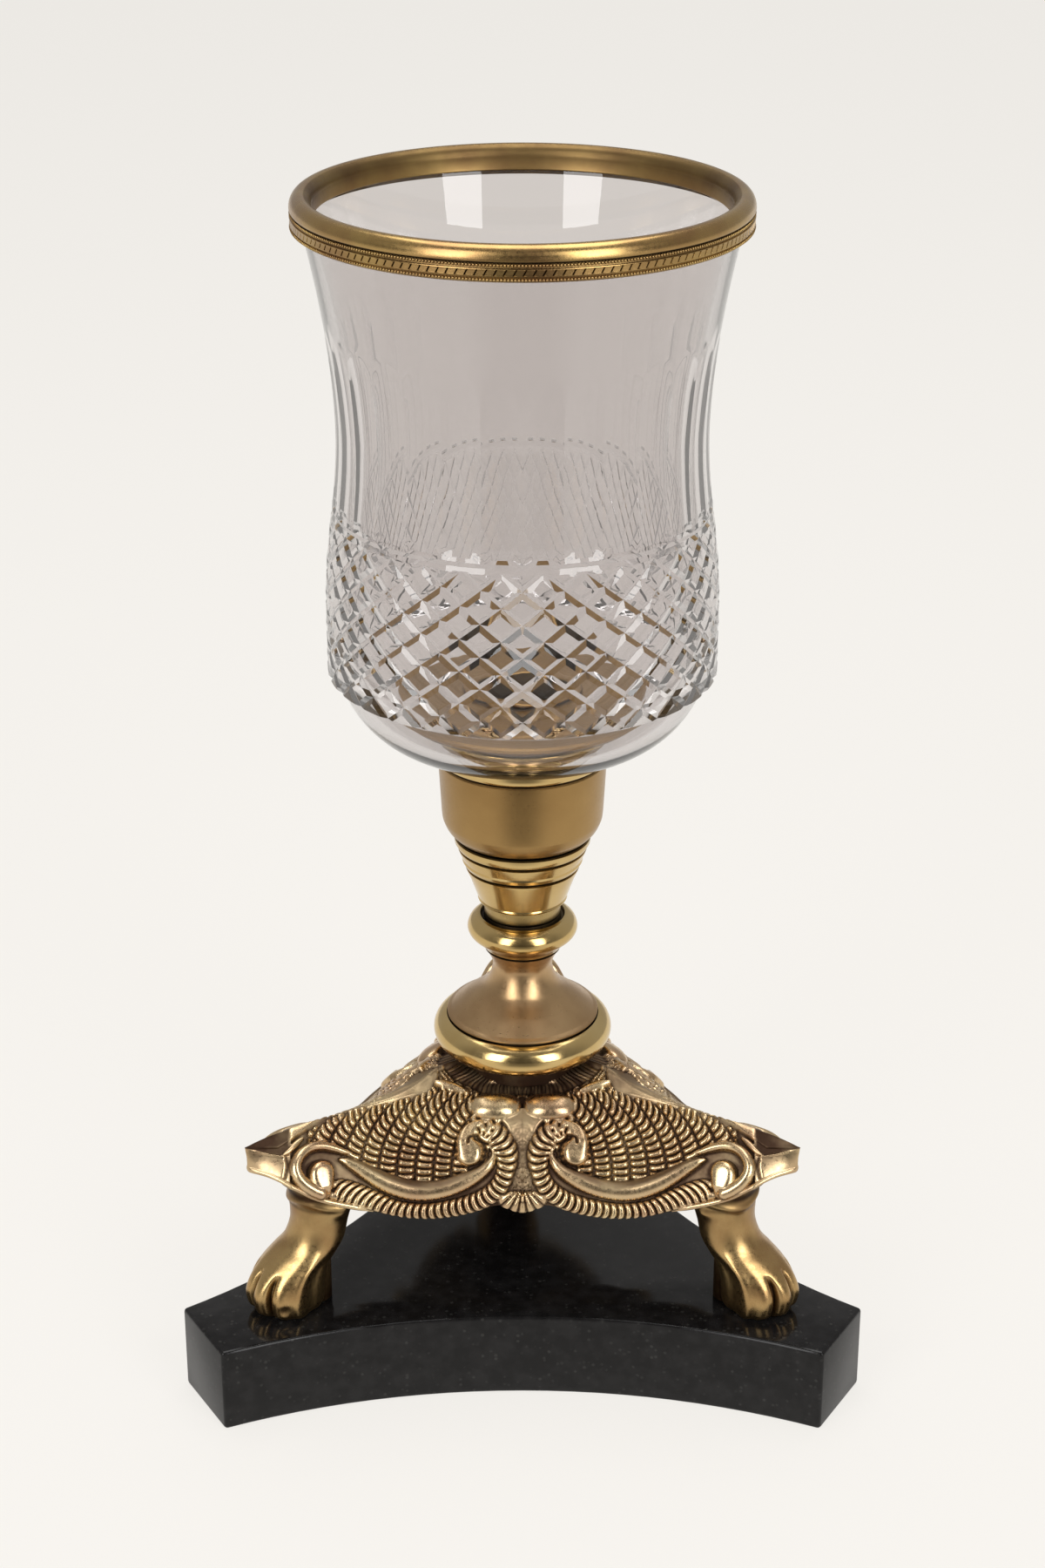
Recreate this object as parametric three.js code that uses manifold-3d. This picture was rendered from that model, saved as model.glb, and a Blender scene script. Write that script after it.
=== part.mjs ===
// Hurricane candle holder: a cut glass shade with a brass rim stands on a turned brass stem,
// a cast three-legged brass base and a black granite slab. A rod clamps the turned pieces.
// Millimetres, +Z up, origin at the middle of the slab's underside, front towards -Y.
import * as THREE from "three";
import { mergeVertices } from "three/addons/utils/BufferGeometryUtils.js";
import Module from "manifold-3d";

const wasm = await Module();
wasm.setup();

// Fits
const seatGap = 0.3;
const boltClearance = 0.3;
const rodClearance = 0.3;
const plugClearance = 0.3;

// Granite slab: a triangle with hollowed sides and cut corners
const slabThickness = 22.5;
const slabCornerReach = 91.6;
const slabCornerWidth = 23.1;
const slabSideReach = 40;
const slabArris = 1.2;

// Leg bolts, from below through slab and paw into the casting
const boltCircle = 60;
const boltRadius = 2.5;
const boltHeadRadius = 5;
const boltHeadHeight = 3.5;
const boltWasherRadius = 5.6;
const boltWasherThickness = 1.1;
const boltPocketRadius = 6.5;
const boltPocketDepth = 9;

// Paw legs
const legHeight = 34.2;
const pawHalfLength = 10.6;
const pawHalfWidth = 9.8;
const pawOverhang = 6.2;
const ankleHalfLength = 6.8;
const ankleHalfWidth = 6.9;
const legHeadHalfLength = 8.4;
const legHeadHalfWidth = 8.8;
const toeDepth = 0.9;

// Casting: three hollowed fronts that run out to pointed corners
const castingWall = 3.2;
const crownSeatRadius = 16.5;
const castingHeight = 22.1;
const cornerReach = 78;
const cornerTopDrop = 8.6;
const cornerBottomDrop = 15.1;
const cornerFaceSpan = 11.5;
const frontReach = 38;
const frontFlare = 5.6;
const frontShellDrop = 27.8;
const frontFullness = 1.2;
const crownFullness = 0.5;
const bossRadius = 8.6;
const bossTopRadius = 4.5;
const bossTopDrop = 11.6;
const bossRoof = 1.2;
const crownThickness = 5;

// Carving on the casting: how far its main forms stand out from the plain surface, or lie under it
const carvingLean = 24;
const borderRelief = 0.3;
const borderWidth = 1.4;
const fanRelief = -0.5;
const scrollRelief = 1.3;
const scrollRadius = 2.2;
const voluteRelief = 1.2;
const voluteRadius = 3;
const fringeRelief = 0.6;
const gapRelief = -0.8;

// Rod and its nuts
const rodRadius = 4;
const rodTailLength = 5;
const rodNoseLength = 8;
const nutHalfFlats = 6.5;
const nutHeight = 5.6;
const washerRadius = 8;
const washerThickness = 1.4;

// Turned stack, bottom to top
const footRingRadius = 22.4;
const footRingTube = 4.3;
const footRingHeight = 8.4;
const stemHeight = 18.1;
const stemFlareRadius = 19;
const stemNeckRadius = 7.5;
const stemHeadRadius = 9.4;
const knopHeight = 9.1;
const knopRadius = 13.7;
const coneHeight = 21.4;
const coneNeckHeight = 5.3;
const coneNeckRadius = 10.2;
const coneFootRadius = 10.9;
const coneTopRadius = 17;
const coneGrooveDepth = 0.7;
const coneGrooveWidth = 1.2;
const cupHeight = 20.5;
const cupShoulderHeight = 4.6;
const cupShoulderRadius = 19.6;
const cupTopRadius = 20.6;
const cupWall = 3;
const cupFloor = 3.4;
const collarHeight = 3.5;
const collarRadius = 21.3;
const collarBore = 15.4;

// Glass shade
const seatGasketRadius = 20.3;
const seatGasketThickness = 1;
const glassHoleRadius = 14.2;
const glassFootRadius = 22;
const glassBellyRadius = 46.65;
const glassBellyHeight = 34.7;
const glassBowlFullness = 2.3;
const glassWaistRadius = 43.3;
const glassWaistHeight = 77.5;
const glassRimRadius = 50.7;
const glassHeight = 128;
const glassFlarePower = 1.7;
const glassWall = 3.6;
const glassMouthWall = 1.9;
const glassFloor = 5;
const ringGrooveHeight = 58.2;
const ringGrooveDepth = 1;
const ringGrooveWidth = 2.4;
const cutsAround = 30;
const diamondRows = 5;
const diamondHeight = 7.7;
const diamondCutDepth = 0.95;
const fluteTop = 103;
const fluteArchHeight = 11;
const fluteDepth = 0.7;

// Rim
const cementThickness = 1.1;
const rimSkirtDepth = 3;
const rimSkirtThickness = 0.8;
const rimBeadHeight = 3;
const rimOverlap = 0.4;
const rimOuterThickness = 1.2;
const rimGlassClearance = 0.6;
const bandHeight = 4.2;

// Candle plate and socket
const plateGasketRadius = 21;
const plateGasketThickness = 1.8;
const plateRadius = 31.5;
const plateThickness = 2.8;
const plateEdgeChamfer = 1.6;
const candleHoleRadius = 11.4;
const socketWall = 1.2;
const socketLipWidth = 2;
const socketLipHeight = 1.2;
const socketFloor = 2.6;
const socketBossRadius = 7;
const socketBossDepth = 8;

const brassPolished = new THREE.MeshStandardMaterial({ color: 0xb2925a, roughness: 0.22, metalness: 1 });
const brassSatin = new THREE.MeshStandardMaterial({ color: 0x9c7f4f, roughness: 0.38, metalness: 1 });
const brassAntique = new THREE.MeshStandardMaterial({ color: 0x8f6f43, roughness: 0.42, metalness: 1 });
const granite = new THREE.MeshStandardMaterial({ color: 0x2b2a29, roughness: 0.12, metalness: 0 });
const clearGlass = new THREE.MeshStandardMaterial({ color: 0xdedad7, roughness: 0.03, metalness: 0 });
const steel = new THREE.MeshStandardMaterial({ color: 0x9a9a98, roughness: 0.35, metalness: 1 });
const rubber = new THREE.MeshStandardMaterial({ color: 0x3a332c, roughness: 0.9, metalness: 0 });
const plaster = new THREE.MeshStandardMaterial({ color: 0xcfc8ba, roughness: 0.9, metalness: 0 });

const model = new THREE.Group();
const cornerAngles = { rear: 90, left: 210, right: 330 };
const frontAngles = [270, 30, 150];
const coarse = 28;
const fine = 42;

// Levels up the axis, each piece resting on the one below with the seat gap
const legBottom = slabThickness + seatGap;
const legTop = legBottom + legHeight;
const bossBottom = legTop + seatGap;
const crownHeight = legTop + castingHeight;
const crownUnderside = crownHeight - crownThickness;
const bossTop = crownHeight - bossTopDrop;
const boltHoleTop = bossTop - bossRoof;
const boltTop = boltHoleTop - seatGap;
const footRingBottom = crownHeight + seatGap;
const footRingTop = footRingBottom + footRingHeight;
const stemBottom = footRingTop + seatGap;
const stemTop = stemBottom + stemHeight;
const knopBottom = stemTop + seatGap;
const knopTop = knopBottom + knopHeight;
const coneBottom = knopTop + seatGap;
const coneTop = coneBottom + coneHeight;
const cupBottom = coneTop + seatGap;
const cupTop = cupBottom + cupHeight;
const collarBottom = cupTop + seatGap;
const collarTop = collarBottom + collarHeight;
const seatGasketBottom = collarTop + seatGap;
const seatGasketTop = seatGasketBottom + seatGasketThickness;
const glassBottom = seatGasketTop + seatGap;
const glassInside = glassBottom + glassFloor;
const plateGasketBottom = glassInside + seatGap;
const plateBottom = plateGasketBottom + plateGasketThickness + seatGap;
const plateTop = plateBottom + plateThickness;
const glassTop = glassBottom + glassHeight;
const cupNutTop = cupBottom + cupFloor + washerThickness + nutHeight + 2 * seatGap;
const rodTop = cupNutTop + seatGap + rodNoseLength;
const rodBore = rodRadius + rodClearance;
const boltBore = boltRadius + boltClearance;

// An outline of [radius, height] pairs turned about the axis. It closes on itself, or starts and
// ends on the axis.
function turned(outline, segments = coarse) {
  let area = 0;
  for (let i = 0; i < outline.length; i += 1) {
    const [r0, z0] = outline[i];
    const [r1, z1] = outline[(i + 1) % outline.length];
    area += r0 * z1 - r1 * z0;
  }
  const ordered = area > 0 ? outline : [...outline].reverse();
  const closed = ordered[0][0] > 0 ? [...ordered, ordered[0]] : ordered;
  const points = closed.map(([r, z]) => new THREE.Vector2(r, z));
  return new THREE.LatheGeometry(points, segments).rotateX(Math.PI / 2);
}

// Points on a quarter or part of an ellipse, angles in degrees from +radius towards +height
function arc(centreRadius, centreHeight, halfWidth, halfHeight, from, to, steps) {
  const points = [];
  for (let i = 0; i <= steps; i += 1) {
    const angle = THREE.MathUtils.degToRad(THREE.MathUtils.lerp(from, to, i / steps));
    const r = centreRadius + halfWidth * Math.cos(angle);
    points.push([r, centreHeight + halfHeight * Math.sin(angle)]);
  }
  return points;
}

function smoothOutline(stations, steps) {
  const curve = new THREE.SplineCurve(stations.map(([r, z]) => new THREE.Vector2(r, z)));
  return curve.getPoints(steps).map((point) => [point.x, point.y]);
}

function ring(innerRadius, outerRadius, bottom, top, segments = coarse) {
  const outline = [[innerRadius, bottom], [outerRadius, bottom], [outerRadius, top], [innerRadius, top]];
  return turned(outline, segments);
}

function cylinder(radius, bottom, top, sides) {
  const geometry = new THREE.CylinderGeometry(radius, radius, top - bottom, sides);
  return geometry.rotateX(Math.PI / 2).translate(0, 0, (bottom + top) / 2);
}

function cone(bottomRadius, topRadius, bottom, top, sides) {
  const geometry = new THREE.CylinderGeometry(topRadius, bottomRadius, top - bottom, sides);
  return geometry.rotateX(Math.PI / 2).translate(0, 0, (bottom + top) / 2);
}

function hexNut(bottom) {
  const hexagon = new THREE.Shape();
  const corner = nutHalfFlats / Math.cos(Math.PI / 6);
  for (let i = 0; i < 6; i += 1) {
    const angle = (i * Math.PI) / 3;
    hexagon.lineTo(corner * Math.cos(angle), corner * Math.sin(angle));
  }
  hexagon.curves.shift();
  hexagon.closePath();
  const bore = new THREE.Path();
  bore.absarc(0, 0, rodBore, 0, 2 * Math.PI, true);
  hexagon.holes.push(bore);
  const options = { depth: nutHeight, bevelEnabled: false, curveSegments: 8 };
  return new THREE.ExtrudeGeometry(hexagon, options).translate(0, 0, bottom);
}

function solidOf(geometry) {
  const bare = geometry.clone();
  bare.deleteAttribute("normal");
  bare.deleteAttribute("uv");
  const merged = mergeVertices(bare, 1e-4);
  return new wasm.Manifold(new wasm.Mesh({
    numProp: 3,
    vertProperties: new Float32Array(merged.attributes.position.array),
    triVerts: new Uint32Array(merged.index.array),
  }));
}

function geometryOf(solid) {
  const mesh = solid.getMesh();
  const geometry = new THREE.BufferGeometry();
  geometry.setAttribute("position", new THREE.BufferAttribute(mesh.vertProperties, 3));
  geometry.setIndex(new THREE.BufferAttribute(mesh.triVerts, 1));
  geometry.computeVertexNormals();
  return geometry;
}

function add(name, geometry, material, parent = model) {
  const mesh = new THREE.Mesh(geometry, material);
  mesh.name = name;
  parent.add(mesh);
  return mesh;
}

// A group turned so that its own +X points out along one corner of the base
function cornerGroup(angle) {
  const group = new THREE.Group();
  group.rotation.z = THREE.MathUtils.degToRad(angle);
  model.add(group);
  return group;
}

// Granite slab
function slabShape() {
  const outline = new THREE.Shape();
  const inset = slabArris;
  const reach = slabCornerReach - inset;
  const halfCut = slabCornerWidth / 2 - inset * Math.tan(Math.PI / 12);
  const side = slabSideReach - inset;
  const corners = Object.values(cornerAngles).map((angle) => {
    const direction = THREE.MathUtils.degToRad(angle);
    const along = new THREE.Vector2(Math.cos(direction), Math.sin(direction)).multiplyScalar(reach);
    const across = new THREE.Vector2(-Math.sin(direction), Math.cos(direction)).multiplyScalar(halfCut);
    return { start: along.clone().sub(across), end: along.clone().add(across) };
  });
  const halfChord = corners[0].end.distanceTo(corners[1].start) / 2;
  const chordReach = corners[0].end.clone().add(corners[1].start).length() / 2;
  const sagitta = chordReach - side;
  const hollowRadius = (halfChord ** 2 + sagitta ** 2) / (2 * sagitta);
  const halfSweep = Math.asin(halfChord / hollowRadius);
  outline.moveTo(corners[0].start.x, corners[0].start.y);
  corners.forEach((corner, i) => {
    outline.lineTo(corner.end.x, corner.end.y);
    const next = corners[(i + 1) % corners.length].start;
    const outward = corner.end.clone().add(next).normalize();
    const centre = outward.clone().multiplyScalar(side + hollowRadius);
    const inward = outward.angle() + Math.PI;
    outline.absarc(centre.x, centre.y, hollowRadius, inward + halfSweep, inward - halfSweep, true);
  });
  return outline;
}

function graniteSlab() {
  const block = new THREE.ExtrudeGeometry(slabShape(), {
    depth: slabThickness - 2 * slabArris,
    bevelEnabled: true,
    bevelThickness: slabArris,
    bevelSize: slabArris,
    bevelSegments: 1,
    curveSegments: 8,
  }).translate(0, 0, slabArris);
  let slab = solidOf(block);
  for (const angle of Object.values(cornerAngles)) {
    const turn = THREE.MathUtils.degToRad(angle);
    const pocket = cylinder(boltPocketRadius, -1, boltPocketDepth, 20).translate(boltCircle, 0, 0);
    const hole = cylinder(boltBore, 0, slabThickness + 1, 12).translate(boltCircle, 0, 0);
    slab = slab.subtract(solidOf(pocket.rotateZ(turn))).subtract(solidOf(hole.rotateZ(turn)));
  }
  return geometryOf(slab);
}

add("granite_slab", graniteSlab(), granite);

// Paw leg: level sections from the sole to the head, [height, reach, half length, half width, toes]
function pawLeg() {
  const pawReach = boltCircle + pawOverhang;
  const sections = [
    [0, pawReach - 0.8, pawHalfLength - 2.6, pawHalfWidth - 2.3, 0.6],
    [0.065, pawReach - 0.2, pawHalfLength - 0.5, pawHalfWidth - 0.5, 1],
    [0.18, pawReach, pawHalfLength, pawHalfWidth, 1],
    [0.3, pawReach - 0.8, pawHalfLength - 0.7, pawHalfWidth - 0.5, 0.8],
    [0.4, pawReach - 3.2, pawHalfLength - 2.2, pawHalfWidth - 1.6, 0.3],
    [0.5, boltCircle + 0.8, ankleHalfLength, ankleHalfWidth, 0],
    [0.635, boltCircle - 1, ankleHalfLength + 0.2, ankleHalfWidth + 0.3, 0],
    [0.8, boltCircle - 1, ankleHalfLength + 0.8, ankleHalfWidth + 1.3, 0],
    [0.91, boltCircle, legHeadHalfLength, legHeadHalfWidth, 0],
    [1, boltCircle, legHeadHalfLength, legHeadHalfWidth, 0],
  ];
  const sides = 18;
  const vertices = [];
  const faces = [];
  for (const [height, reach, halfLength, halfWidth, toes] of sections) {
    for (let i = 0; i < sides; i += 1) {
      const angle = (2 * Math.PI * i) / sides;
      const front = Math.max(0, Math.cos(angle));
      const swell = 1 - (toes * toeDepth * front * (1 - Math.cos(6 * angle))) / (2 * pawHalfLength);
      const x = reach + halfLength * Math.cos(angle) * swell;
      const y = halfWidth * Math.sin(angle) * swell;
      vertices.push(x, y, legBottom + height * legHeight);
    }
  }
  const last = sections.length - 1;
  vertices.push(sections[0][1], 0, legBottom, sections[last][1], 0, legTop);
  const soleCentre = sections.length * sides;
  for (let i = 0; i < sides; i += 1) {
    const next = (i + 1) % sides;
    faces.push(soleCentre, next, i, soleCentre + 1, last * sides + i, last * sides + next);
    for (let level = 0; level < last; level += 1) {
      const low = level * sides;
      const high = low + sides;
      faces.push(low + i, low + next, high + next, low + i, high + next, high + i);
    }
  }
  const body = new THREE.BufferGeometry();
  body.setAttribute("position", new THREE.Float32BufferAttribute(vertices, 3));
  body.setIndex(faces);
  const bore = cylinder(boltBore, legBottom - 1, legTop + 1, 12).translate(boltCircle, 0, 0);
  return geometryOf(solidOf(body).subtract(solidOf(bore)));
}

function legBolt() {
  const headTop = boltPocketDepth - boltWasherThickness - 2 * seatGap;
  const outline = [
    [0, headTop - boltHeadHeight],
    [boltHeadRadius, headTop - boltHeadHeight],
    [boltHeadRadius, headTop],
    [boltRadius, headTop],
    [boltRadius, boltTop],
    [0, boltTop],
  ];
  return turned(outline, 16).translate(boltCircle, 0, 0);
}

function boltWasher() {
  const top = boltPocketDepth - seatGap;
  const washer = ring(boltBore, boltWasherRadius, top - boltWasherThickness, top, 16);
  return washer.translate(boltCircle, 0, 0);
}

for (const [place, angle] of Object.entries(cornerAngles)) {
  const group = cornerGroup(angle);
  add(`paw_leg_${place}`, pawLeg(), brassAntique, group);
  add(`leg_bolt_${place}`, legBolt(), steel, group);
  add(`leg_bolt_washer_${place}`, boltWasher(), steel, group);
}

// Casting: one front seen square on has x across it, d out from the axis and z up.
// The ridges between fronts run out to the corners, the lower edge hangs in two lobes and a shell.
const tipAcross = cornerReach * Math.sin(Math.PI / 3);
const tipOut = cornerReach * Math.cos(Math.PI / 3);
const ridgeDrops = new THREE.SplineCurve([
  new THREE.Vector2(0, 0),
  new THREE.Vector2(0.25, 0.02),
  new THREE.Vector2(0.33, 0.15),
  new THREE.Vector2(0.4, 0.45),
  new THREE.Vector2(0.52, 0.66),
  new THREE.Vector2(0.66, 0.73),
  new THREE.Vector2(0.74, 0.72),
  new THREE.Vector2(0.82, 0.76),
  new THREE.Vector2(0.92, 0.82),
  new THREE.Vector2(1, 0.95),
]);
const edgeLifts = new THREE.SplineCurve([
  new THREE.Vector2(0, 0),
  new THREE.Vector2(0.09, 0.16),
  new THREE.Vector2(0.17, 0.02),
  new THREE.Vector2(0.27, -0.06),
  new THREE.Vector2(0.38, -0.05),
  new THREE.Vector2(0.53, 0.13),
  new THREE.Vector2(0.65, 0.31),
  new THREE.Vector2(0.75, 0.53),
  new THREE.Vector2(0.83, 0.82),
  new THREE.Vector2(0.91, 0.97),
  new THREE.Vector2(1, 1),
]);

function curveHeight(curve, share) {
  const samples = curve.getPoints(60);
  const next = samples.findIndex((point) => point.x >= share - 1e-9);
  if (next <= 0) return samples[0].y;
  const before = samples[next - 1];
  const after = samples[next];
  return THREE.MathUtils.mapLinear(share, before.x, after.x, before.y, after.y);
}

function edgeReach(x) {
  const shoulder = tipAcross - cornerFaceSpan;
  const flared = frontReach + frontFlare * (Math.min(Math.abs(x), shoulder) / shoulder) ** 2;
  const run = Math.max(0, Math.abs(x) - shoulder) / cornerFaceSpan;
  return THREE.MathUtils.lerp(flared, tipOut, run);
}

// A point of the plain casting in a front's own frame: x across, d out and z up
function plainPoint(share, down, wall) {
  const place = Math.abs(share);
  const x = share * (tipAcross - wall / Math.tan(Math.PI / 6));
  const ridgeOut = Math.abs(x) * Math.tan(Math.PI / 6);
  const ridgeTop = crownHeight - wall - cornerTopDrop * curveHeight(ridgeDrops, place);
  const edgeDrop = THREE.MathUtils.lerp(frontShellDrop, cornerBottomDrop, curveHeight(edgeLifts, place));
  const fullness = frontFullness + crownFullness * (1 - place) ** 2;
  const turn = (down * Math.PI) / 2;
  const out = Math.sin(turn) ** (2 / fullness);
  const up = Math.max(0, Math.cos(turn)) ** (2 / fullness);
  const d = THREE.MathUtils.lerp(ridgeOut, edgeReach(share * tipAcross) - wall, out);
  const z = THREE.MathUtils.lerp(crownHeight - edgeDrop, ridgeTop, up);
  return { x, d, z };
}

// The carving's main lines on one half of a front, drawn on a plane that leans back with the front
// and given as [x, drop below the crown]
function carvedLine(stations) {
  return new THREE.SplineCurve(stations.map(([x, drop]) => new THREE.Vector2(x, drop)));
}

const borderLine = carvedLine([[0, 10.5], [21.3, 11], [40.1, 16.4], [53.3, 21], [tipAcross, 25]]);
const scrollLine = carvedLine([[0, 26], [8, 27.5], [11.6, 31.5], [19.5, 34.8], [28, 35], [36.5, 31.6],
  [43, 28.3], [48.9, 29.9], [56, 28.5], [tipAcross, 27]]);
const fringeLine = carvedLine([[0, 37.5], [7.7, 36], [14.1, 38.6], [22.7, 40.4], [31.2, 38.9], [39.6, 36.2],
  [45, 34.8], [54, 31.5], [tipAcross, 28.5]]);
const volutes = [[12.3, 24.6], [48.9, 29.9]];

function dropOf({ d, z }) {
  const lean = THREE.MathUtils.degToRad(carvingLean);
  return (crownHeight - z) * Math.cos(lean) + d * Math.sin(lean);
}

// Steps down one column of a front, one to each carved line, with the relief that it has there
function carvedSteps(share) {
  const x = Math.abs(share) * tipAcross;
  const border = curveHeight(borderLine, x);
  const scroll = curveHeight(scrollLine, x);
  const lines = [
    [border, borderRelief],
    [border + borderWidth, fanRelief],
    [(border + borderWidth + scroll - scrollRadius) / 2, fanRelief],
    [scroll - scrollRadius, fanRelief],
    [scroll, scrollRelief],
    [scroll + scrollRadius, gapRelief],
    [curveHeight(fringeLine, x), fringeRelief],
  ];
  const top = dropOf(plainPoint(share, 0, 0));
  const bottom = dropOf(plainPoint(share, 1, 0));
  const carved = THREE.MathUtils.smoothstep(tipAcross - x, cornerFaceSpan * 0.8, cornerFaceSpan * 1.6);
  const steps = [{ down: 0, relief: 0 }];
  lines.forEach(([line, relief], i) => {
    const even = THREE.MathUtils.lerp(top, bottom, (i + 1) / (lines.length + 1));
    const drop = THREE.MathUtils.clamp(THREE.MathUtils.lerp(even, line, carved), top, bottom);
    const least = steps[i].down + 0.03;
    const most = 1 - 0.03 * (lines.length - i);
    let low = least;
    let high = most;
    while (high - low > 1e-4) {
      const middle = (low + high) / 2;
      if (dropOf(plainPoint(share, middle, 0)) < drop) low = middle;
      else high = middle;
    }
    let swell = relief;
    for (const [centre, level] of volutes) {
      const away = Math.hypot(x - centre, drop - level) / voluteRadius;
      swell = Math.max(swell, voluteRelief * Math.min(1, 2 - away));
    }
    steps.push({ down: low, relief: swell * carved * THREE.MathUtils.smoothstep(x, 0, voluteRadius) });
  });
  steps.push({ down: 1, relief: 0 });
  return steps;
}

function castingPoint(frontAngle, share, step, inside) {
  const point = plainPoint(share, step.down, inside ? castingWall : 0);
  if (!inside && step.relief !== 0) {
    const before = plainPoint(share, step.down - 0.01, 0);
    const after = plainPoint(share, step.down + 0.01, 0);
    const run = Math.hypot(after.d - before.d, after.z - before.z);
    point.d += (step.relief * (before.z - after.z)) / run;
    point.z += (step.relief * (after.d - before.d)) / run;
  }
  const normal = THREE.MathUtils.degToRad(frontAngle);
  return [
    point.d * Math.cos(normal) - point.x * Math.sin(normal),
    point.d * Math.sin(normal) + point.x * Math.cos(normal),
    point.z,
  ];
}

// Outer and inner skin of the three fronts, sharing their points along the ridges and at the tips
function castingShell() {
  const columns = 40;
  const middle = columns / 2;
  const steps = [];
  for (let i = 0; i <= columns; i += 1) steps.push(carvedSteps((2 * i) / columns - 1));
  const rows = steps[0].length - 1;
  const positions = [];
  const faces = [];
  const known = new Map();
  const vertex = (front, i, j, inside) => {
    let key = `front ${front} ${i} ${j} ${inside}`;
    if (i === columns) key = `front ${(front + 1) % 3} 0 ${j} ${inside}`;
    if (j === 0) key = `ridge ${i > middle ? front : (front + 2) % 3} ${Math.abs(i - middle)} ${inside}`;
    if (j === 0 && i === middle) key = `axis ${inside}`;
    if (!known.has(key)) {
      known.set(key, positions.length / 3);
      positions.push(...castingPoint(frontAngles[front], (2 * i) / columns - 1, steps[i][j], inside));
    }
    return known.get(key);
  };
  const quad = (a, b, c, d) => faces.push(a, b, c, a, c, d);
  for (let front = 0; front < 3; front += 1) {
    for (let i = 0; i < columns; i += 1) {
      for (let j = 0; j < rows; j += 1) {
        quad(vertex(front, i, j, false), vertex(front, i, j + 1, false),
          vertex(front, i + 1, j + 1, false), vertex(front, i + 1, j, false));
        quad(vertex(front, i, j, true), vertex(front, i + 1, j, true),
          vertex(front, i + 1, j + 1, true), vertex(front, i, j + 1, true));
      }
      quad(vertex(front, i, rows, false), vertex(front, i, rows, true),
        vertex(front, i + 1, rows, true), vertex(front, i + 1, rows, false));
    }
  }
  const geometry = new THREE.BufferGeometry();
  geometry.setAttribute("position", new THREE.Float32BufferAttribute(positions, 3));
  geometry.setIndex(faces);
  return geometry;
}

function casting() {
  const seat = cylinder(crownSeatRadius, crownUnderside, crownHeight, coarse);
  let solid = solidOf(castingShell()).add(solidOf(seat));
  for (const angle of Object.values(cornerAngles)) {
    const turn = THREE.MathUtils.degToRad(angle);
    const boss = cone(bossRadius, bossTopRadius, bossBottom, bossTop, 16);
    solid = solid.add(solidOf(boss.translate(boltCircle, 0, 0).rotateZ(turn)));
  }
  for (const angle of Object.values(cornerAngles)) {
    const turn = THREE.MathUtils.degToRad(angle);
    const hole = cylinder(boltBore, bossBottom - 1, boltHoleTop, 12).translate(boltCircle, 0, 0);
    solid = solid.subtract(solidOf(hole.rotateZ(turn)));
  }
  return geometryOf(solid.subtract(solidOf(cylinder(rodBore, crownUnderside - 5, crownHeight + 1, 16))));
}

add("base_casting", casting(), brassAntique);

// Rod, washers and nuts: the lower pair clamps the casting, the upper pair sits inside the cup
const lowerWasherTop = crownUnderside - seatGap;
const lowerNutBottom = lowerWasherTop - washerThickness - seatGap - nutHeight;
const upperWasherBottom = cupBottom + cupFloor + seatGap;
add("tie_rod", cylinder(rodRadius, lowerNutBottom - rodTailLength, rodTop, 16), steel);
const rodWasher = (bottom) => ring(rodBore, washerRadius, bottom, bottom + washerThickness, 20);
add("casting_washer", rodWasher(lowerWasherTop - washerThickness), steel);
add("casting_nut", hexNut(lowerNutBottom), steel);
add("cup_washer", rodWasher(upperWasherBottom), steel);
add("cup_nut", hexNut(upperWasherBottom + washerThickness + seatGap), steel);

// Foot ring: a fat rolled moulding
const footRingMiddle = footRingBottom + footRingHeight / 2;
add("foot_ring", turned([
  [rodBore, footRingBottom],
  ...arc(footRingRadius - footRingTube, footRingMiddle, footRingTube, footRingHeight / 2, -90, 90, 7),
  [rodBore, footRingTop],
]), brassPolished);

// Stem: a domed flare that draws in to a slim neck
add("stem", turned([
  [rodBore, stemBottom],
  ...smoothOutline([
    [stemFlareRadius, stemBottom],
    [stemFlareRadius - 0.5, stemBottom + stemHeight * 0.045],
    [THREE.MathUtils.lerp(stemNeckRadius, stemFlareRadius, 0.62), stemBottom + stemHeight * 0.21],
    [THREE.MathUtils.lerp(stemNeckRadius, stemFlareRadius, 0.19), stemBottom + stemHeight * 0.42],
    [stemNeckRadius, stemBottom + stemHeight * 0.68],
    [stemNeckRadius + 0.3, stemBottom + stemHeight * 0.84],
    [stemHeadRadius, stemTop],
  ], 10),
  [rodBore, stemTop],
]), brassSatin);

// Knop: a round collar with a coved underside
add("knop", turned([
  [rodBore, knopBottom],
  [stemHeadRadius, knopBottom],
  [THREE.MathUtils.lerp(stemHeadRadius, knopRadius, 0.55), knopBottom + knopHeight * 0.22],
  ...arc(knopRadius - knopHeight * 0.32, knopBottom + knopHeight * 0.62,
    knopHeight * 0.32, knopHeight * 0.36, -35, 80, 5),
  [coneNeckRadius + 0.2, knopTop - knopHeight * 0.08],
  [coneNeckRadius - 0.4, knopTop],
  [rodBore, knopTop],
]), brassPolished);

// Cone on its short neck, with turned grooves
function coneSide() {
  const slope = (height) => THREE.MathUtils.mapLinear(
    height, coneBottom + coneNeckHeight, coneTop, coneFootRadius, coneTopRadius);
  const side = [];
  for (const share of [0.41, 0.68]) {
    const middle = coneBottom + coneHeight * share;
    side.push([slope(middle - coneGrooveWidth / 2), middle - coneGrooveWidth / 2]);
    side.push([slope(middle) - coneGrooveDepth, middle]);
    side.push([slope(middle + coneGrooveWidth / 2), middle + coneGrooveWidth / 2]);
  }
  return side;
}

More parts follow.
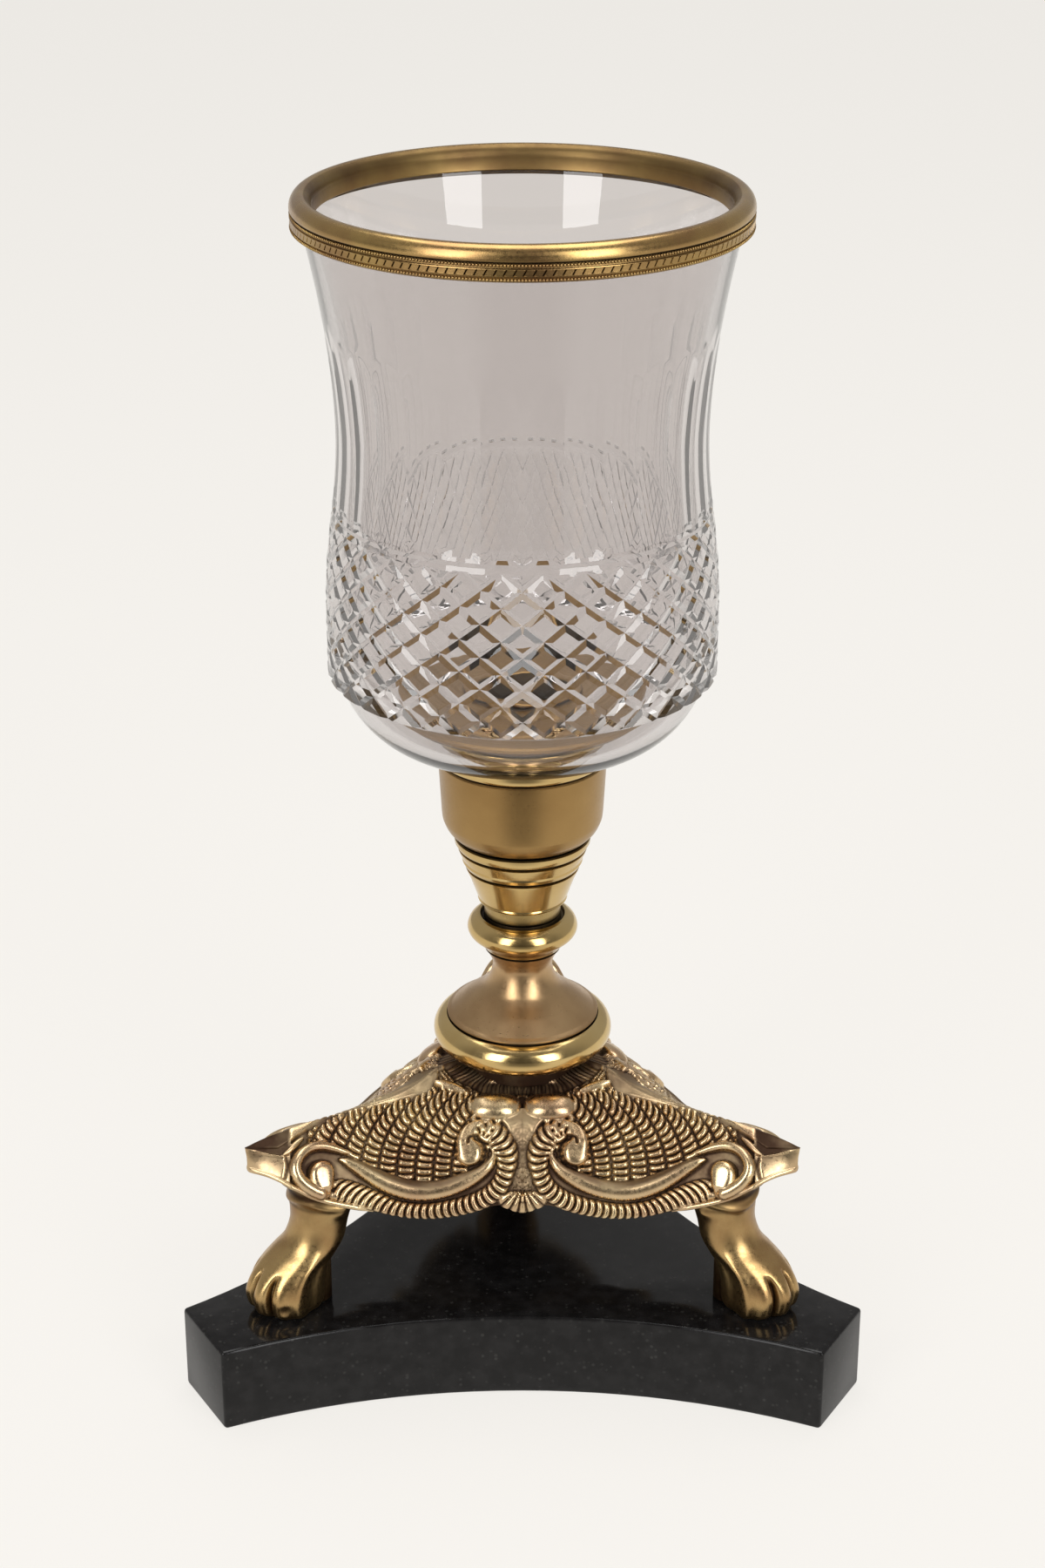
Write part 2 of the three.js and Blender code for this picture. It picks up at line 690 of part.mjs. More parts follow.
add("cup_cone", turned([
  [rodBore, coneBottom],
  [coneNeckRadius, coneBottom],
  [coneNeckRadius - 0.3, coneBottom + coneNeckHeight * 0.5],
  [coneNeckRadius, coneBottom + coneNeckHeight * 0.9],
  [coneFootRadius, coneBottom + coneNeckHeight],
  ...coneSide(),
  [coneTopRadius, coneTop - coneGrooveWidth / 2],
  [coneTopRadius - coneGrooveDepth, coneTop],
  [rodBore, coneTop],
]), brassPolished);

// Socket cup: round shoulder, slightly tapered wall, open at the top
add("socket_cup", turned([
  [rodBore, cupBottom],
  [coneTopRadius - coneGrooveDepth, cupBottom],
  [coneTopRadius + 0.3, cupBottom + coneGrooveWidth / 2],
  ...arc(coneTopRadius, cupBottom + cupShoulderHeight, cupShoulderRadius - coneTopRadius,
    cupShoulderHeight * 0.75, -60, 0, 4),
  [cupTopRadius, cupTop - 0.8],
  [cupTopRadius - 0.5, cupTop],
  [cupTopRadius - cupWall, cupTop],
  [cupShoulderRadius - cupWall, cupBottom + cupShoulderHeight],
  [coneTopRadius - cupWall, cupBottom + cupFloor],
  [rodBore, cupBottom + cupFloor],
]), brassSatin);

add("seat_collar", turned([
  [collarBore, collarBottom],
  [collarRadius - 0.9, collarBottom],
  ...arc(collarRadius - 0.9, (collarBottom + collarTop) / 2, 0.9, collarHeight / 2, -60, 60, 4),
  [collarRadius - 1, collarTop],
  [collarBore, collarTop],
]), brassPolished);

add("seat_gasket", ring(collarBore, seatGasketRadius, seatGasketBottom, seatGasketTop), rubber);

// Glass shade: round bowl, swelling belly, waist and flared mouth. Diamonds are cut below a ring
// groove and flutes above it.
function glassRadius(height) {
  if (height < glassWaistHeight) {
    const share = (height - glassBellyHeight) / (glassWaistHeight - glassBellyHeight);
    return THREE.MathUtils.lerp(glassBellyRadius, glassWaistRadius, (1 - Math.cos(Math.PI * share)) / 2);
  }
  const share = (height - glassWaistHeight) / (glassHeight - glassWaistHeight);
  return THREE.MathUtils.lerp(glassWaistRadius, glassRimRadius, share ** glassFlarePower);
}

// The wall thins evenly from the waist to the mouth
function glassInsideRadius(height) {
  const share = Math.max(0, (height - glassWaistHeight) / (glassHeight - glassWaistHeight));
  return glassRadius(height) - THREE.MathUtils.lerp(glassWall, glassMouthWall, share);
}

function bowlPoint(share, footRadius, bellyRadius, floor) {
  const angle = (share * Math.PI) / 2;
  const power = 2 / glassBowlFullness;
  const r = THREE.MathUtils.lerp(footRadius, bellyRadius, Math.sin(angle) ** power);
  const z = THREE.MathUtils.lerp(glassBellyHeight, floor, Math.max(0, Math.cos(angle)) ** power);
  return [r, glassBottom + z];
}

function bellyRadius(height) {
  if (height > glassBellyHeight) return glassRadius(height);
  const power = 2 / glassBowlFullness;
  const angle = Math.acos((1 - height / glassBellyHeight) ** (1 / power));
  return THREE.MathUtils.lerp(glassFootRadius, glassBellyRadius, Math.sin(angle) ** power);
}

// A ring of the outside: cuts go in at every second point, or at the points between them
function cutRing(height, cut, between = cut) {
  return { height, radius: (i) => bellyRadius(height) - (i % 2 === 0 ? cut : between) };
}

function plainRing([radius, z]) {
  return { height: z - glassBottom, radius: () => radius };
}

function glassRings() {
  const grooveLow = ringGrooveHeight - ringGrooveWidth / 2;
  const grooveHigh = ringGrooveHeight + ringGrooveWidth / 2;
  const diamondFoot = grooveLow - diamondRows * diamondHeight;
  const rings = [plainRing([glassHoleRadius, glassBottom])];
  for (const share of [0, 0.12, 0.28, 0.46]) {
    rings.push(plainRing(bowlPoint(share, glassFootRadius, glassBellyRadius, 0)));
  }
  rings.push(cutRing(diamondFoot - 1, 0));
  for (let row = 0; row <= 2 * diamondRows; row += 1) {
    const crossing = row % 2 === 0;
    const height = diamondFoot + (row * diamondHeight) / 2;
    rings.push(cutRing(height, crossing ? diamondCutDepth : 0, crossing ? 0 : diamondCutDepth));
  }
  rings.push(cutRing(ringGrooveHeight, ringGrooveDepth), cutRing(grooveHigh, 0));
  const archFoot = fluteTop - fluteArchHeight;
  rings.push(cutRing(grooveHigh + 0.8, fluteDepth, 0), cutRing((grooveHigh + archFoot) / 2, fluteDepth, 0));
  for (const share of [0, 0.5, 0.8, 1]) {
    rings.push(cutRing(archFoot + share * fluteArchHeight, fluteDepth * (1 - share ** 2), 0));
  }
  for (const share of [0.9, 1]) rings.push(cutRing(share * glassHeight, 0));
  const inside = [];
  for (const share of [0.58, 0.7, 0.81, 0.91, 1]) {
    const level = share * glassHeight;
    inside.unshift(plainRing([glassInsideRadius(level), glassBottom + level]));
  }
  inside.push(plainRing([glassInsideRadius(ringGrooveHeight), glassBottom + ringGrooveHeight]));
  for (let i = 5; i >= 0; i -= 1) {
    const point = bowlPoint(i / 5, glassFootRadius + glassWall, glassBellyRadius - glassWall, glassFloor);
    inside.push(plainRing(point));
  }
  inside.push(plainRing([glassHoleRadius, glassInside]));
  return [...rings, ...inside];
}

function glassShade() {
  const rings = glassRings();
  const around = 2 * cutsAround;
  const positions = [];
  const faces = [];
  for (const ring of rings) {
    for (let i = 0; i < around; i += 1) {
      const angle = (2 * Math.PI * i) / around;
      const radius = ring.radius(i);
      positions.push(radius * Math.cos(angle), radius * Math.sin(angle), glassBottom + ring.height);
    }
  }
  const firstCut = rings.findIndex((ring) => ring.radius(0) !== ring.radius(1));
  rings.forEach((ring, j) => {
    const upper = (j + 1) % rings.length;
    for (let i = 0; i < around; i += 1) {
      const next = (i + 1) % around;
      const [a, b, c, d] = [j * around + i, j * around + next, upper * around + next, upper * around + i];
      if ((i + j - firstCut) % 2 === 0) faces.push(a, b, c, a, c, d);
      else faces.push(a, b, d, b, c, d);
    }
  });
  const geometry = new THREE.BufferGeometry();
  geometry.setAttribute("position", new THREE.Float32BufferAttribute(positions, 3));
  geometry.setIndex(faces);
  geometry.computeVertexNormals();
  return geometry;
}

add("glass_shade", glassShade(), clearGlass);

// Rim: cement on the glass edge, a rolled bead with an inner skirt, and a patterned band below it
const cementTop = glassTop + seatGap + cementThickness;
const beadUnderside = cementTop + seatGap;
const skirtBottom = beadUnderside - rimSkirtDepth;
const glassEdge = glassRimRadius - glassMouthWall;
const skirtOuter = glassEdge - rimGlassClearance;
const skirtFootOuter = glassInsideRadius(skirtBottom - glassBottom) - rimGlassClearance;
const rimInner = glassRimRadius + rimGlassClearance;
const rimOuter = rimInner + rimOuterThickness;
const bandTop = beadUnderside - rimOverlap - seatGap;
add("rim_cement", ring(glassEdge, glassRimRadius, glassTop + seatGap, cementTop, fine), plaster);

add("rim_bead", turned([
  [skirtFootOuter - rimSkirtThickness, skirtBottom],
  [skirtFootOuter, skirtBottom],
  [skirtOuter, beadUnderside],
  [rimInner, beadUnderside],
  [rimInner, beadUnderside - rimOverlap],
  [rimOuter, beadUnderside - rimOverlap],
  ...arc((skirtOuter - rimSkirtThickness + rimOuter) / 2, beadUnderside,
    (rimOuter - skirtOuter + rimSkirtThickness) / 2, rimBeadHeight, -10, 190, 7),
], fine), brassPolished);

add("rim_band", turned([
  [rimInner - 0.4, bandTop - bandHeight],
  [rimOuter - 0.4, bandTop - bandHeight + 0.6],
  [rimOuter, bandTop - bandHeight * 0.6],
  [rimOuter, bandTop],
  [rimInner, bandTop],
], fine), brassAntique);

// Candle plate with its gasket, and the socket whose boss screws on to the rod
const socketOuter = candleHoleRadius + socketWall;
const lipBottom = plateTop + seatGap;
const socketInside = rodTop + seatGap + socketFloor;
const socketBottom = socketInside - socketFloor - socketBossDepth;
add("plate_gasket", ring(socketOuter + plugClearance, plateGasketRadius, plateGasketBottom,
  plateGasketBottom + plateGasketThickness), rubber);

add("candle_plate", turned([
  [socketOuter + plugClearance, plateBottom],
  [plateRadius - plateEdgeChamfer, plateBottom],
  [plateRadius, plateBottom + plateEdgeChamfer],
  [plateRadius - 0.4, plateTop],
  [socketOuter + plugClearance, plateTop],
]), brassSatin);

add("candle_socket", turned([
  [0, socketInside - socketFloor],
  [rodBore, socketInside - socketFloor],
  [rodBore, socketBottom],
  [socketBossRadius, socketBottom],
  [socketBossRadius, socketInside - socketFloor],
  [socketOuter, socketInside - socketFloor],
  [socketOuter, lipBottom],
  [socketOuter + socketLipWidth, lipBottom],
  [socketOuter + socketLipWidth - 0.4, lipBottom + socketLipHeight],
  [candleHoleRadius, lipBottom + socketLipHeight],
  [candleHoleRadius, socketInside],
  [0, socketInside],
], 28), brassSatin);

export default model;
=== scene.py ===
import math

import bmesh
import bpy
import numpy as np
from mathutils import Matrix, Vector


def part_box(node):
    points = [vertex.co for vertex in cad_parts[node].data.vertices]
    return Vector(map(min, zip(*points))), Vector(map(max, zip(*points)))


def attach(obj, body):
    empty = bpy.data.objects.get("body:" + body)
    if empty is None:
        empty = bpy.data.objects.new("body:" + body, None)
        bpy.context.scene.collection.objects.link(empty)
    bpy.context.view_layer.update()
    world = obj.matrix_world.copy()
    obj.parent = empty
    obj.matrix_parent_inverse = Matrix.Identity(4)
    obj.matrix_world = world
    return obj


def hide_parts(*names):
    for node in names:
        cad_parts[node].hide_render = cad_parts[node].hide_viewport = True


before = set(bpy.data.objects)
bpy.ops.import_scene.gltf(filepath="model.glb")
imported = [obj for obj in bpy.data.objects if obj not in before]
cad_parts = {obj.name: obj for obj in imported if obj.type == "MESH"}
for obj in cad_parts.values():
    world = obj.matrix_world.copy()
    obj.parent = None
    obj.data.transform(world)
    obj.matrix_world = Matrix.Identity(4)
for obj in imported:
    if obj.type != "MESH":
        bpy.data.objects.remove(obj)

print("frame loaded:", len(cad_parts), "nodes")

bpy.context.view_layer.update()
millimetre = 0.001
cornerAngles = {"rear": 90, "left": 210, "right": 330}  # degrees round the upright axis, from x
frontAngles = {"front": 270, "right": 30, "left": 150}


# Materials

def addNode(tree, kind, inputs=None, **settings):
    made = tree.nodes.new(kind)
    for key, value in settings.items():
        setattr(made, key, value)
    for key, value in (inputs or {}).items():
        if isinstance(value, bpy.types.NodeSocket):
            tree.links.new(value, made.inputs[key])
        else:
            made.inputs[key].default_value = value
    return made


def newMaterial(name, **values):
    material = bpy.data.materials.new(name)
    material.use_nodes = True
    tree = material.node_tree
    shader = tree.nodes["Principled BSDF"]
    for key, value in values.items():
        shader.inputs[key.replace("_", " ")].default_value = value
    return material, tree, shader


def colour(red, green, blue):
    # An sRGB colour, from 0 to 255, as Blender's linear one
    parts = [value / 255 for value in (red, green, blue)]
    return [p / 12.92 if p <= 0.04045 else ((p + 0.055) / 1.055) ** 2.4 for p in parts] + [1]


def mixColour(tree, share, low, high):
    made = addNode(tree, "ShaderNodeMix", {0: share, 6: low, 7: high}, data_type="RGBA")
    return made.outputs[2]


def calculate(tree, operation, first, second=0.0, clamp=False):
    made = addNode(tree, "ShaderNodeMath", {0: first, 1: second}, operation=operation, use_clamp=clamp)
    return made.outputs[0]


def spread(tree, value, lowIn, highIn, lowOut, highOut):
    made = addNode(tree, "ShaderNodeMapRange", {
        "Value": value, "From Min": lowIn, "From Max": highIn, "To Min": lowOut, "To Max": highOut})
    return made.outputs[0]


def noiseAt(tree, place, scale, detail=3.0, roughness=0.5):
    made = addNode(tree, "ShaderNodeTexNoise", {
        "Vector": place, "Scale": scale, "Detail": detail, "Roughness": roughness})
    return made.outputs["Fac"]


def latheLines(tree, place, scale):
    # Noise that is the same all the way round the axis, as turning and polishing leave it
    parts = addNode(tree, "ShaderNodeSeparateXYZ", {0: place})
    flat = addNode(tree, "ShaderNodeCombineXYZ", {0: parts.outputs[0], 1: parts.outputs[1]})
    reach = addNode(tree, "ShaderNodeVectorMath", {0: flat.outputs[0]}, operation="LENGTH")
    wobble = calculate(tree, "MULTIPLY", noiseAt(tree, place, 30, 1), 0.0004)
    level = calculate(tree, "ADD", parts.outputs[2], wobble)
    section = addNode(tree, "ShaderNodeCombineXYZ", {0: reach.outputs["Value"], 2: level})
    return noiseAt(tree, section.outputs[0], scale, 4, 0.7)


def brass(name, look):
    material, tree, shader = newMaterial(name, Metallic=1.0)
    place = addNode(tree, "ShaderNodeTexCoord").outputs["Object"]
    clouds = noiseAt(tree, place, look["cloudScale"], 4)
    grain = noiseAt(tree, place, look["grainScale"], 3, 0.6)
    # The darkness attribute draws the metal towards its dark colour. It holds patina in grooves and hollows,
    # and painted shade where a face lies inside, under or against other parts or faces away from the light.
    patinaAndShadeShare = addNode(tree, "ShaderNodeAttribute", attribute_name="patinaAndShade").outputs["Fac"]
    patinaAndShadeShare = calculate(tree, "MULTIPLY", patinaAndShadeShare, spread(tree, clouds, 0.3, 0.7, 0.8, 1.15), clamp=True)
    tone = mixColour(tree, spread(tree, clouds, 0.35, 0.65, 0, 1), look["pale"], look["warm"])
    tree.links.new(mixColour(tree, patinaAndShadeShare, tone, look["dark"]), shader.inputs["Base Color"])
    rough = spread(tree, grain, 0.3, 0.7, look["smooth"], look["dull"])
    height = calculate(tree, "MULTIPLY", grain, look["grainDepth"])
    if look["lineDepth"]:
        lines = latheLines(tree, place, look["lineScale"])
        height = calculate(tree, "ADD", height, calculate(tree, "MULTIPLY", lines, look["lineDepth"]))
        rough = calculate(tree, "ADD", rough, spread(tree, lines, 0.3, 0.7, -0.03, 0.05))
    rough = calculate(tree, "ADD", rough, calculate(tree, "MULTIPLY", patinaAndShadeShare, look["patinaAndShadeRough"]))
    tree.links.new(rough, shader.inputs["Roughness"])
    bump = addNode(tree, "ShaderNodeBump", {"Strength": 1.0, "Distance": 1.0, "Height": height})
    tree.links.new(bump.outputs[0], shader.inputs["Normal"])
    return material


polishedBrass = brass("polished brass", {
    "pale": colour(212, 186, 130), "warm": colour(196, 166, 108), "dark": colour(42, 33, 22),
    "smooth": 0.13, "dull": 0.2, "patinaAndShadeRough": 0.35, "cloudScale": 45, "grainScale": 900,
    "grainDepth": 0.000004, "lineScale": 1600, "lineDepth": 0.000004,
})
satinBrass = brass("satin brass", {
    "pale": colour(170, 138, 88), "warm": colour(149, 118, 73), "dark": colour(36, 28, 19),
    "smooth": 0.27, "dull": 0.36, "patinaAndShadeRough": 0.3, "cloudScale": 30, "grainScale": 1500,
    "grainDepth": 0.000006, "lineScale": 2600, "lineDepth": 0.000012,
})
wornBrass = brass("worn satin brass", {
    "pale": colour(190, 159, 118), "warm": colour(168, 136, 98), "dark": colour(40, 30, 22),
    "smooth": 0.27, "dull": 0.37, "patinaAndShadeRough": 0.3, "cloudScale": 70, "grainScale": 1500,
    "grainDepth": 0.000006, "lineScale": 2600, "lineDepth": 0.000012,
})
rimBrass = brass("rolled rim brass", {
    "pale": colour(178, 149, 94), "warm": colour(154, 121, 80), "dark": colour(46, 34, 22),
    "smooth": 0.22, "dull": 0.3, "patinaAndShadeRough": 0.3, "cloudScale": 60, "grainScale": 1200,
    "grainDepth": 0.000005, "lineScale": 1800, "lineDepth": 0.000006,
})
antiqueBrass = brass("antique cast brass", {
    "pale": colour(217, 193, 150), "warm": colour(194, 161, 126), "dark": colour(66, 49, 38),
    "smooth": 0.2, "dull": 0.34, "patinaAndShadeRough": 0.3, "cloudScale": 90, "grainScale": 1300,
    "grainDepth": 0.00001, "lineScale": 0, "lineDepth": 0,
})
pawBrass = brass("rubbed cast brass", {
    "pale": colour(198, 167, 114), "warm": colour(172, 136, 90), "dark": colour(58, 41, 27),
    "smooth": 0.2, "dull": 0.33, "patinaAndShadeRough": 0.3, "cloudScale": 90, "grainScale": 1300,
    "grainDepth": 0.000012, "lineScale": 0, "lineDepth": 0,
})
steel = brass("zinc plated steel", {
    "pale": colour(176, 176, 172), "warm": colour(150, 150, 146), "dark": colour(60, 58, 54),
    "smooth": 0.3, "dull": 0.42, "patinaAndShadeRough": 0.2, "cloudScale": 90, "grainScale": 1600,
    "grainDepth": 0.00001, "lineScale": 2200, "lineDepth": 0.00001,
})


def graniteMaterial():
    material, tree, shader = newMaterial("black granite", Specular_IOR_Level=0.22)
    place = addNode(tree, "ShaderNodeTexCoord").outputs["Object"]
    crystals = addNode(tree, "ShaderNodeTexVoronoi", {"Vector": place, "Scale": 900.0})
    pick = addNode(tree, "ShaderNodeSeparateColor", {0: crystals.outputs["Color"]}).outputs[0]
    speck = calculate(tree, "MULTIPLY", spread(tree, pick, 0.8, 1, 0, 1),
                      spread(tree, crystals.outputs["Distance"], 0.25, 0.5, 1, 0), clamp=True)
    share = calculate(tree, "MULTIPLY", speck, 0.25)
    clouds = spread(tree, noiseAt(tree, place, 260, 4), 0.4, 0.65, 0, 1)
    ground = mixColour(tree, clouds, colour(17, 16, 16), colour(27, 26, 26))
    tree.links.new(mixColour(tree, share, ground, colour(78, 77, 74)), shader.inputs["Base Color"])
    # The top is polished and the sides are duller
    facing = addNode(tree, "ShaderNodeNewGeometry").outputs["True Normal"]
    upward = addNode(tree, "ShaderNodeSeparateXYZ", {0: facing}).outputs[2]
    level = spread(tree, upward, 0.2, 0.8, 0.3, 0.1)
    worn = calculate(tree, "ADD", level, spread(tree, noiseAt(tree, place, 40, 4), 0.4, 0.7, 0, 0.03))
    tree.links.new(worn, shader.inputs["Roughness"])
    return material


def glassMaterial():
    # Clear glass with a smoky cast. Lamps pass straight through it, so that it doesn't shade what it
    # holds, and light caught inside the wall leaves it after two bounces, so that no dark bands build up.
    material, tree, shader = newMaterial(
        "clear cut glass", Base_Color=(0.73, 0.7, 0.694, 1), Roughness=0.0, IOR=1.5,
        Transmission_Weight=1.0)
    path = addNode(tree, "ShaderNodeLightPath")
    caught = calculate(tree, "GREATER_THAN", path.outputs["Glossy Depth"], 1.5)
    tint = mixColour(tree, caught, (0.87, 0.853, 0.85, 1), (0.62, 0.62, 0.62, 1))
    through = addNode(tree, "ShaderNodeBsdfTransparent", {"Color": tint})
    passing = calculate(tree, "MAXIMUM", path.outputs["Is Shadow Ray"], caught)
    either = addNode(tree, "ShaderNodeMixShader", {0: passing, 1: shader.outputs[0], 2: through.outputs[0]})
    tree.links.new(either.outputs[0], tree.nodes["Material Output"].inputs["Surface"])
    return material


def plainMaterial(name, light, dark, roughness, scale, depth):
    material, tree, shader = newMaterial(name)
    place = addNode(tree, "ShaderNodeTexCoord").outputs["Object"]
    grain = noiseAt(tree, place, scale, 4)
    tone = mixColour(tree, spread(tree, grain, 0.3, 0.7, 0, 1), dark, light)
    rough = spread(tree, grain, 0.3, 0.7, roughness - 0.08, roughness + 0.08)
    tree.links.new(tone, shader.inputs["Base Color"])
    tree.links.new(rough, shader.inputs["Roughness"])
    bump = addNode(tree, "ShaderNodeBump", {"Distance": depth, "Height": grain})
    tree.links.new(bump.outputs[0], shader.inputs["Normal"])
    return material


granite = graniteMaterial()
clearGlass = glassMaterial()
rubber = plainMaterial("gasket rubber", colour(52, 46, 40), colour(34, 30, 26), 0.6, 700, 0.0001)
cement = plainMaterial("rim cement", colour(206, 199, 184), colour(178, 170, 154), 0.85, 500, 0.0002)
print("materials made")


# Making and placing pieces

def levels(node):
    # Bottom and top of a node in the frame, in millimetres
    low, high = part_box(node)
    return low.z / millimetre, high.z / millimetre


def addPiece(name, mesh, material, body, replaced, sharpAngle=32):
    # Makes mesh, in millimetres, a finished piece that stands for a node of the frame
    mesh.transform(Matrix.Scale(millimetre, 4))
    mesh.name = name
    mesh.materials.append(material)
    mesh.shade_smooth()
    mesh.set_sharp_from_angle(angle=math.radians(sharpAngle))
    piece = bpy.data.objects.new(name, mesh)
    bpy.context.scene.collection.objects.link(piece)
    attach(piece, body)
    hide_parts(replaced)
    return piece


def meshFrom(bm, name):
    mesh = bpy.data.meshes.new(name)
    bm.to_mesh(mesh)
    bm.free()
    return mesh


def pointsOf(mesh):
    points = np.empty(len(mesh.vertices) * 3)
    mesh.vertices.foreach_get("co", points)
    return points.reshape(-1, 3)


def arc(reach, level, halfWidth, halfHeight, start, end, steps, patinaAndShadeShare=0.0):
    # Stations [radius, height, darkness] along an ellipse, from one angle to another. The darkness is
    # patina and painted shade, as in turn().
    angles = [math.radians(start + (end - start) * i / steps) for i in range(steps + 1)]
    return [(reach + halfWidth * math.cos(a), level + halfHeight * math.sin(a), patinaAndShadeShare) for a in angles]


def curveThrough(stations, steps):
    # A smooth curve through stations of two or three numbers
    points = [Vector((*station, 0.0)[:3]) for station in stations]
    ends = [2 * points[0] - points[1]] + points + [2 * points[-1] - points[-2]]
    curve = []
    for before, start, end, after in zip(ends, ends[1:], ends[2:], ends[3:]):
        for step in range(steps):
            t = step / steps
            bend = 2 * before - 5 * start + 4 * end - after
            twist = 3 * start - before - 3 * end + after
            curve.append(0.5 * (2 * start + (end - before) * t + bend * t ** 2 + twist * t ** 3))
    return [tuple(point) for point in curve + [points[-1]]]


def turn(profile, steps=128, axis=(0.0, 0.0), closed=True):
    # Spins a profile of [radius, height, darkness] about an upright axis. The darkness is patina in
    # grooves and hollows, and painted shade on faces inside, under or against other parts. The profile
    # closes on itself, or starts and ends on the axis.
    bm = bmesh.new()
    patinaAndShade = bm.verts.layers.float.new("patinaAndShade")
    path = []
    for station in profile:
        vert = bm.verts.new((axis[0] + station[0], axis[1], station[1]))
        vert[patinaAndShade] = station[2] if len(station) > 2 else 0.0
        path.append(vert)
    pairs = list(zip(path, path[1:])) + ([(path[-1], path[0])] if closed else [])
    edges = [bm.edges.new(pair) for pair in pairs]
    bmesh.ops.spin(bm, geom=path + edges, cent=(*axis, 0), axis=(0, 0, 1), dvec=(0, 0, 0),
                   angle=2 * math.pi, steps=steps, use_merge=True, use_duplicate=False)
    bmesh.ops.remove_doubles(bm, verts=bm.verts, dist=0.0005)
    bmesh.ops.recalc_face_normals(bm, faces=bm.faces)
    return bm


def hexReach(x, y, halfFlats):
    # How far a hexagon reaches in the direction of x, y
    fromFlat = math.atan2(y, x) % math.radians(60) - math.radians(30)
    return halfFlats / math.cos(fromFlat)


# Camera and studio

camera = {  # place in metres, pitch in degrees, focal length and picture height in pixels, sensor in mm
    "place": (0, -0.6645, 0.4472), "pitch": 65.92, "focal": 3422.9, "tall": 1800, "sensor": 36,
}
studio = {
    "paper": colour(244, 241, 236), "shadowShare": 0.13, "floorReach": 8.0,
    "darkAngle": (0.25, 0.6), "darkFrom": (-0.12, -0.3), "darkest": 1.0,
    "roomBright": (0.45, 0.44, 0.43, 1), "roomDark": (0.1, 0.095, 0.09, 1),
    "softboxes": {  # place, size, watts
        "softbox left": ((-0.6, -0.85, 0.62), (0.42, 0.95), 7.6),
        "softbox right": ((0.6, -0.85, 0.62), (0.42, 0.95), 7.6),
        "top light": ((0.0, 0.25, 1.5), (1.2, 1.0), 13.0),
    },
    "aim": (0, 0, 0.13), "glassLight": 0.5,
}


def addCamera():
    data = bpy.data.cameras.new("camera")
    data.sensor_width = camera["sensor"]
    data.lens = camera["focal"] / camera["tall"] * camera["sensor"]
    eye = bpy.data.objects.new("camera", data)
    eye.location = camera["place"]
    eye.rotation_euler = (math.radians(camera["pitch"]), 0, 0)
    bpy.context.scene.collection.objects.link(eye)
    bpy.context.scene.camera = eye


def seenRay(tree):
    # 1 for rays that show the background: straight to the camera, mirrored or through glass
    path = addNode(tree, "ShaderNodeLightPath").outputs
    shown = calculate(tree, "ADD", path["Is Camera Ray"], path["Is Glossy Ray"])
    return calculate(tree, "ADD", shown, path["Is Transmission Ray"], clamp=True)


def cameraSide(tree, x, y):
    # How much of the dark side of the room, where the camera stands, lies in this direction
    heading = calculate(tree, "ARCTAN2", x, calculate(tree, "MULTIPLY", y, -1.0))
    wedge = spread(tree, calculate(tree, "ABSOLUTE", heading), *studio["darkAngle"], studio["darkest"], 0)
    return calculate(tree, "MULTIPLY", wedge, spread(tree, y, *studio["darkFrom"], 0, 1))


def addFloor():
    bm = bmesh.new()
    bmesh.ops.create_grid(bm, x_segments=1, y_segments=1, size=studio["floorReach"])
    mesh = meshFrom(bm, "floor")
    floor = bpy.data.objects.new("floor", mesh)
    bpy.context.scene.collection.objects.link(floor)
    material, tree, shader = newMaterial("pale floor", Base_Color=studio["paper"], Roughness=0.9,
                                         Specular_IOR_Level=0.0)
    spot = addNode(tree, "ShaderNodeTexCoord").outputs["Object"]
    place = addNode(tree, "ShaderNodeSeparateXYZ", {0: spot}).outputs
    path = addNode(tree, "ShaderNodeLightPath").outputs
    shade = calculate(tree, "MULTIPLY", path["Is Glossy Ray"], cameraSide(tree, place[0], place[1]))
    shade = calculate(tree, "SUBTRACT", shade, path["Transmission Depth"], clamp=True)
    seen = mixColour(tree, shade, studio["paper"], studio["roomDark"])
    glow = addNode(tree, "ShaderNodeEmission", {"Color": seen})
    share = calculate(tree, "MULTIPLY", seenRay(tree), 1 - studio["shadowShare"])
    both = addNode(tree, "ShaderNodeMixShader", {0: share, 1: shader.outputs[0], 2: glow.outputs[0]})
    tree.links.new(both.outputs[0], tree.nodes["Material Output"].inputs["Surface"])
    mesh.materials.append(material)


def addRoom():
    # The room is pale round and behind the piece and darker on the camera's side, as metal shows it
    world = bpy.data.worlds.new("studio")
    bpy.context.scene.world = world
    world.use_nodes = True
    tree = world.node_tree
    tree.nodes.clear()
    toward = addNode(tree, "ShaderNodeTexCoord").outputs["Generated"]
    parts = addNode(tree, "ShaderNodeSeparateXYZ", {0: toward}).outputs
    behind = spread(tree, parts[1], -0.75, 0.1, 0, 1)
    room = mixColour(tree, behind, studio["roomDark"], studio["roomBright"])
    path = addNode(tree, "ShaderNodeLightPath").outputs
    seen = calculate(tree, "ADD", path["Is Camera Ray"], path["Is Transmission Ray"], clamp=True)
    inGlass = calculate(tree, "MINIMUM", path["Transmission Depth"], 1.0)
    inGlass = calculate(tree, "MULTIPLY", inGlass, studio["glassLight"])
    seen = calculate(tree, "MAXIMUM", seen, inGlass)
    sky = mixColour(tree, seen, room, studio["paper"])
    lit = addNode(tree, "ShaderNodeBackground", {"Color": sky, "Strength": 1.0})
    output = addNode(tree, "ShaderNodeOutputWorld")
    tree.links.new(lit.outputs[0], output.inputs["Surface"])


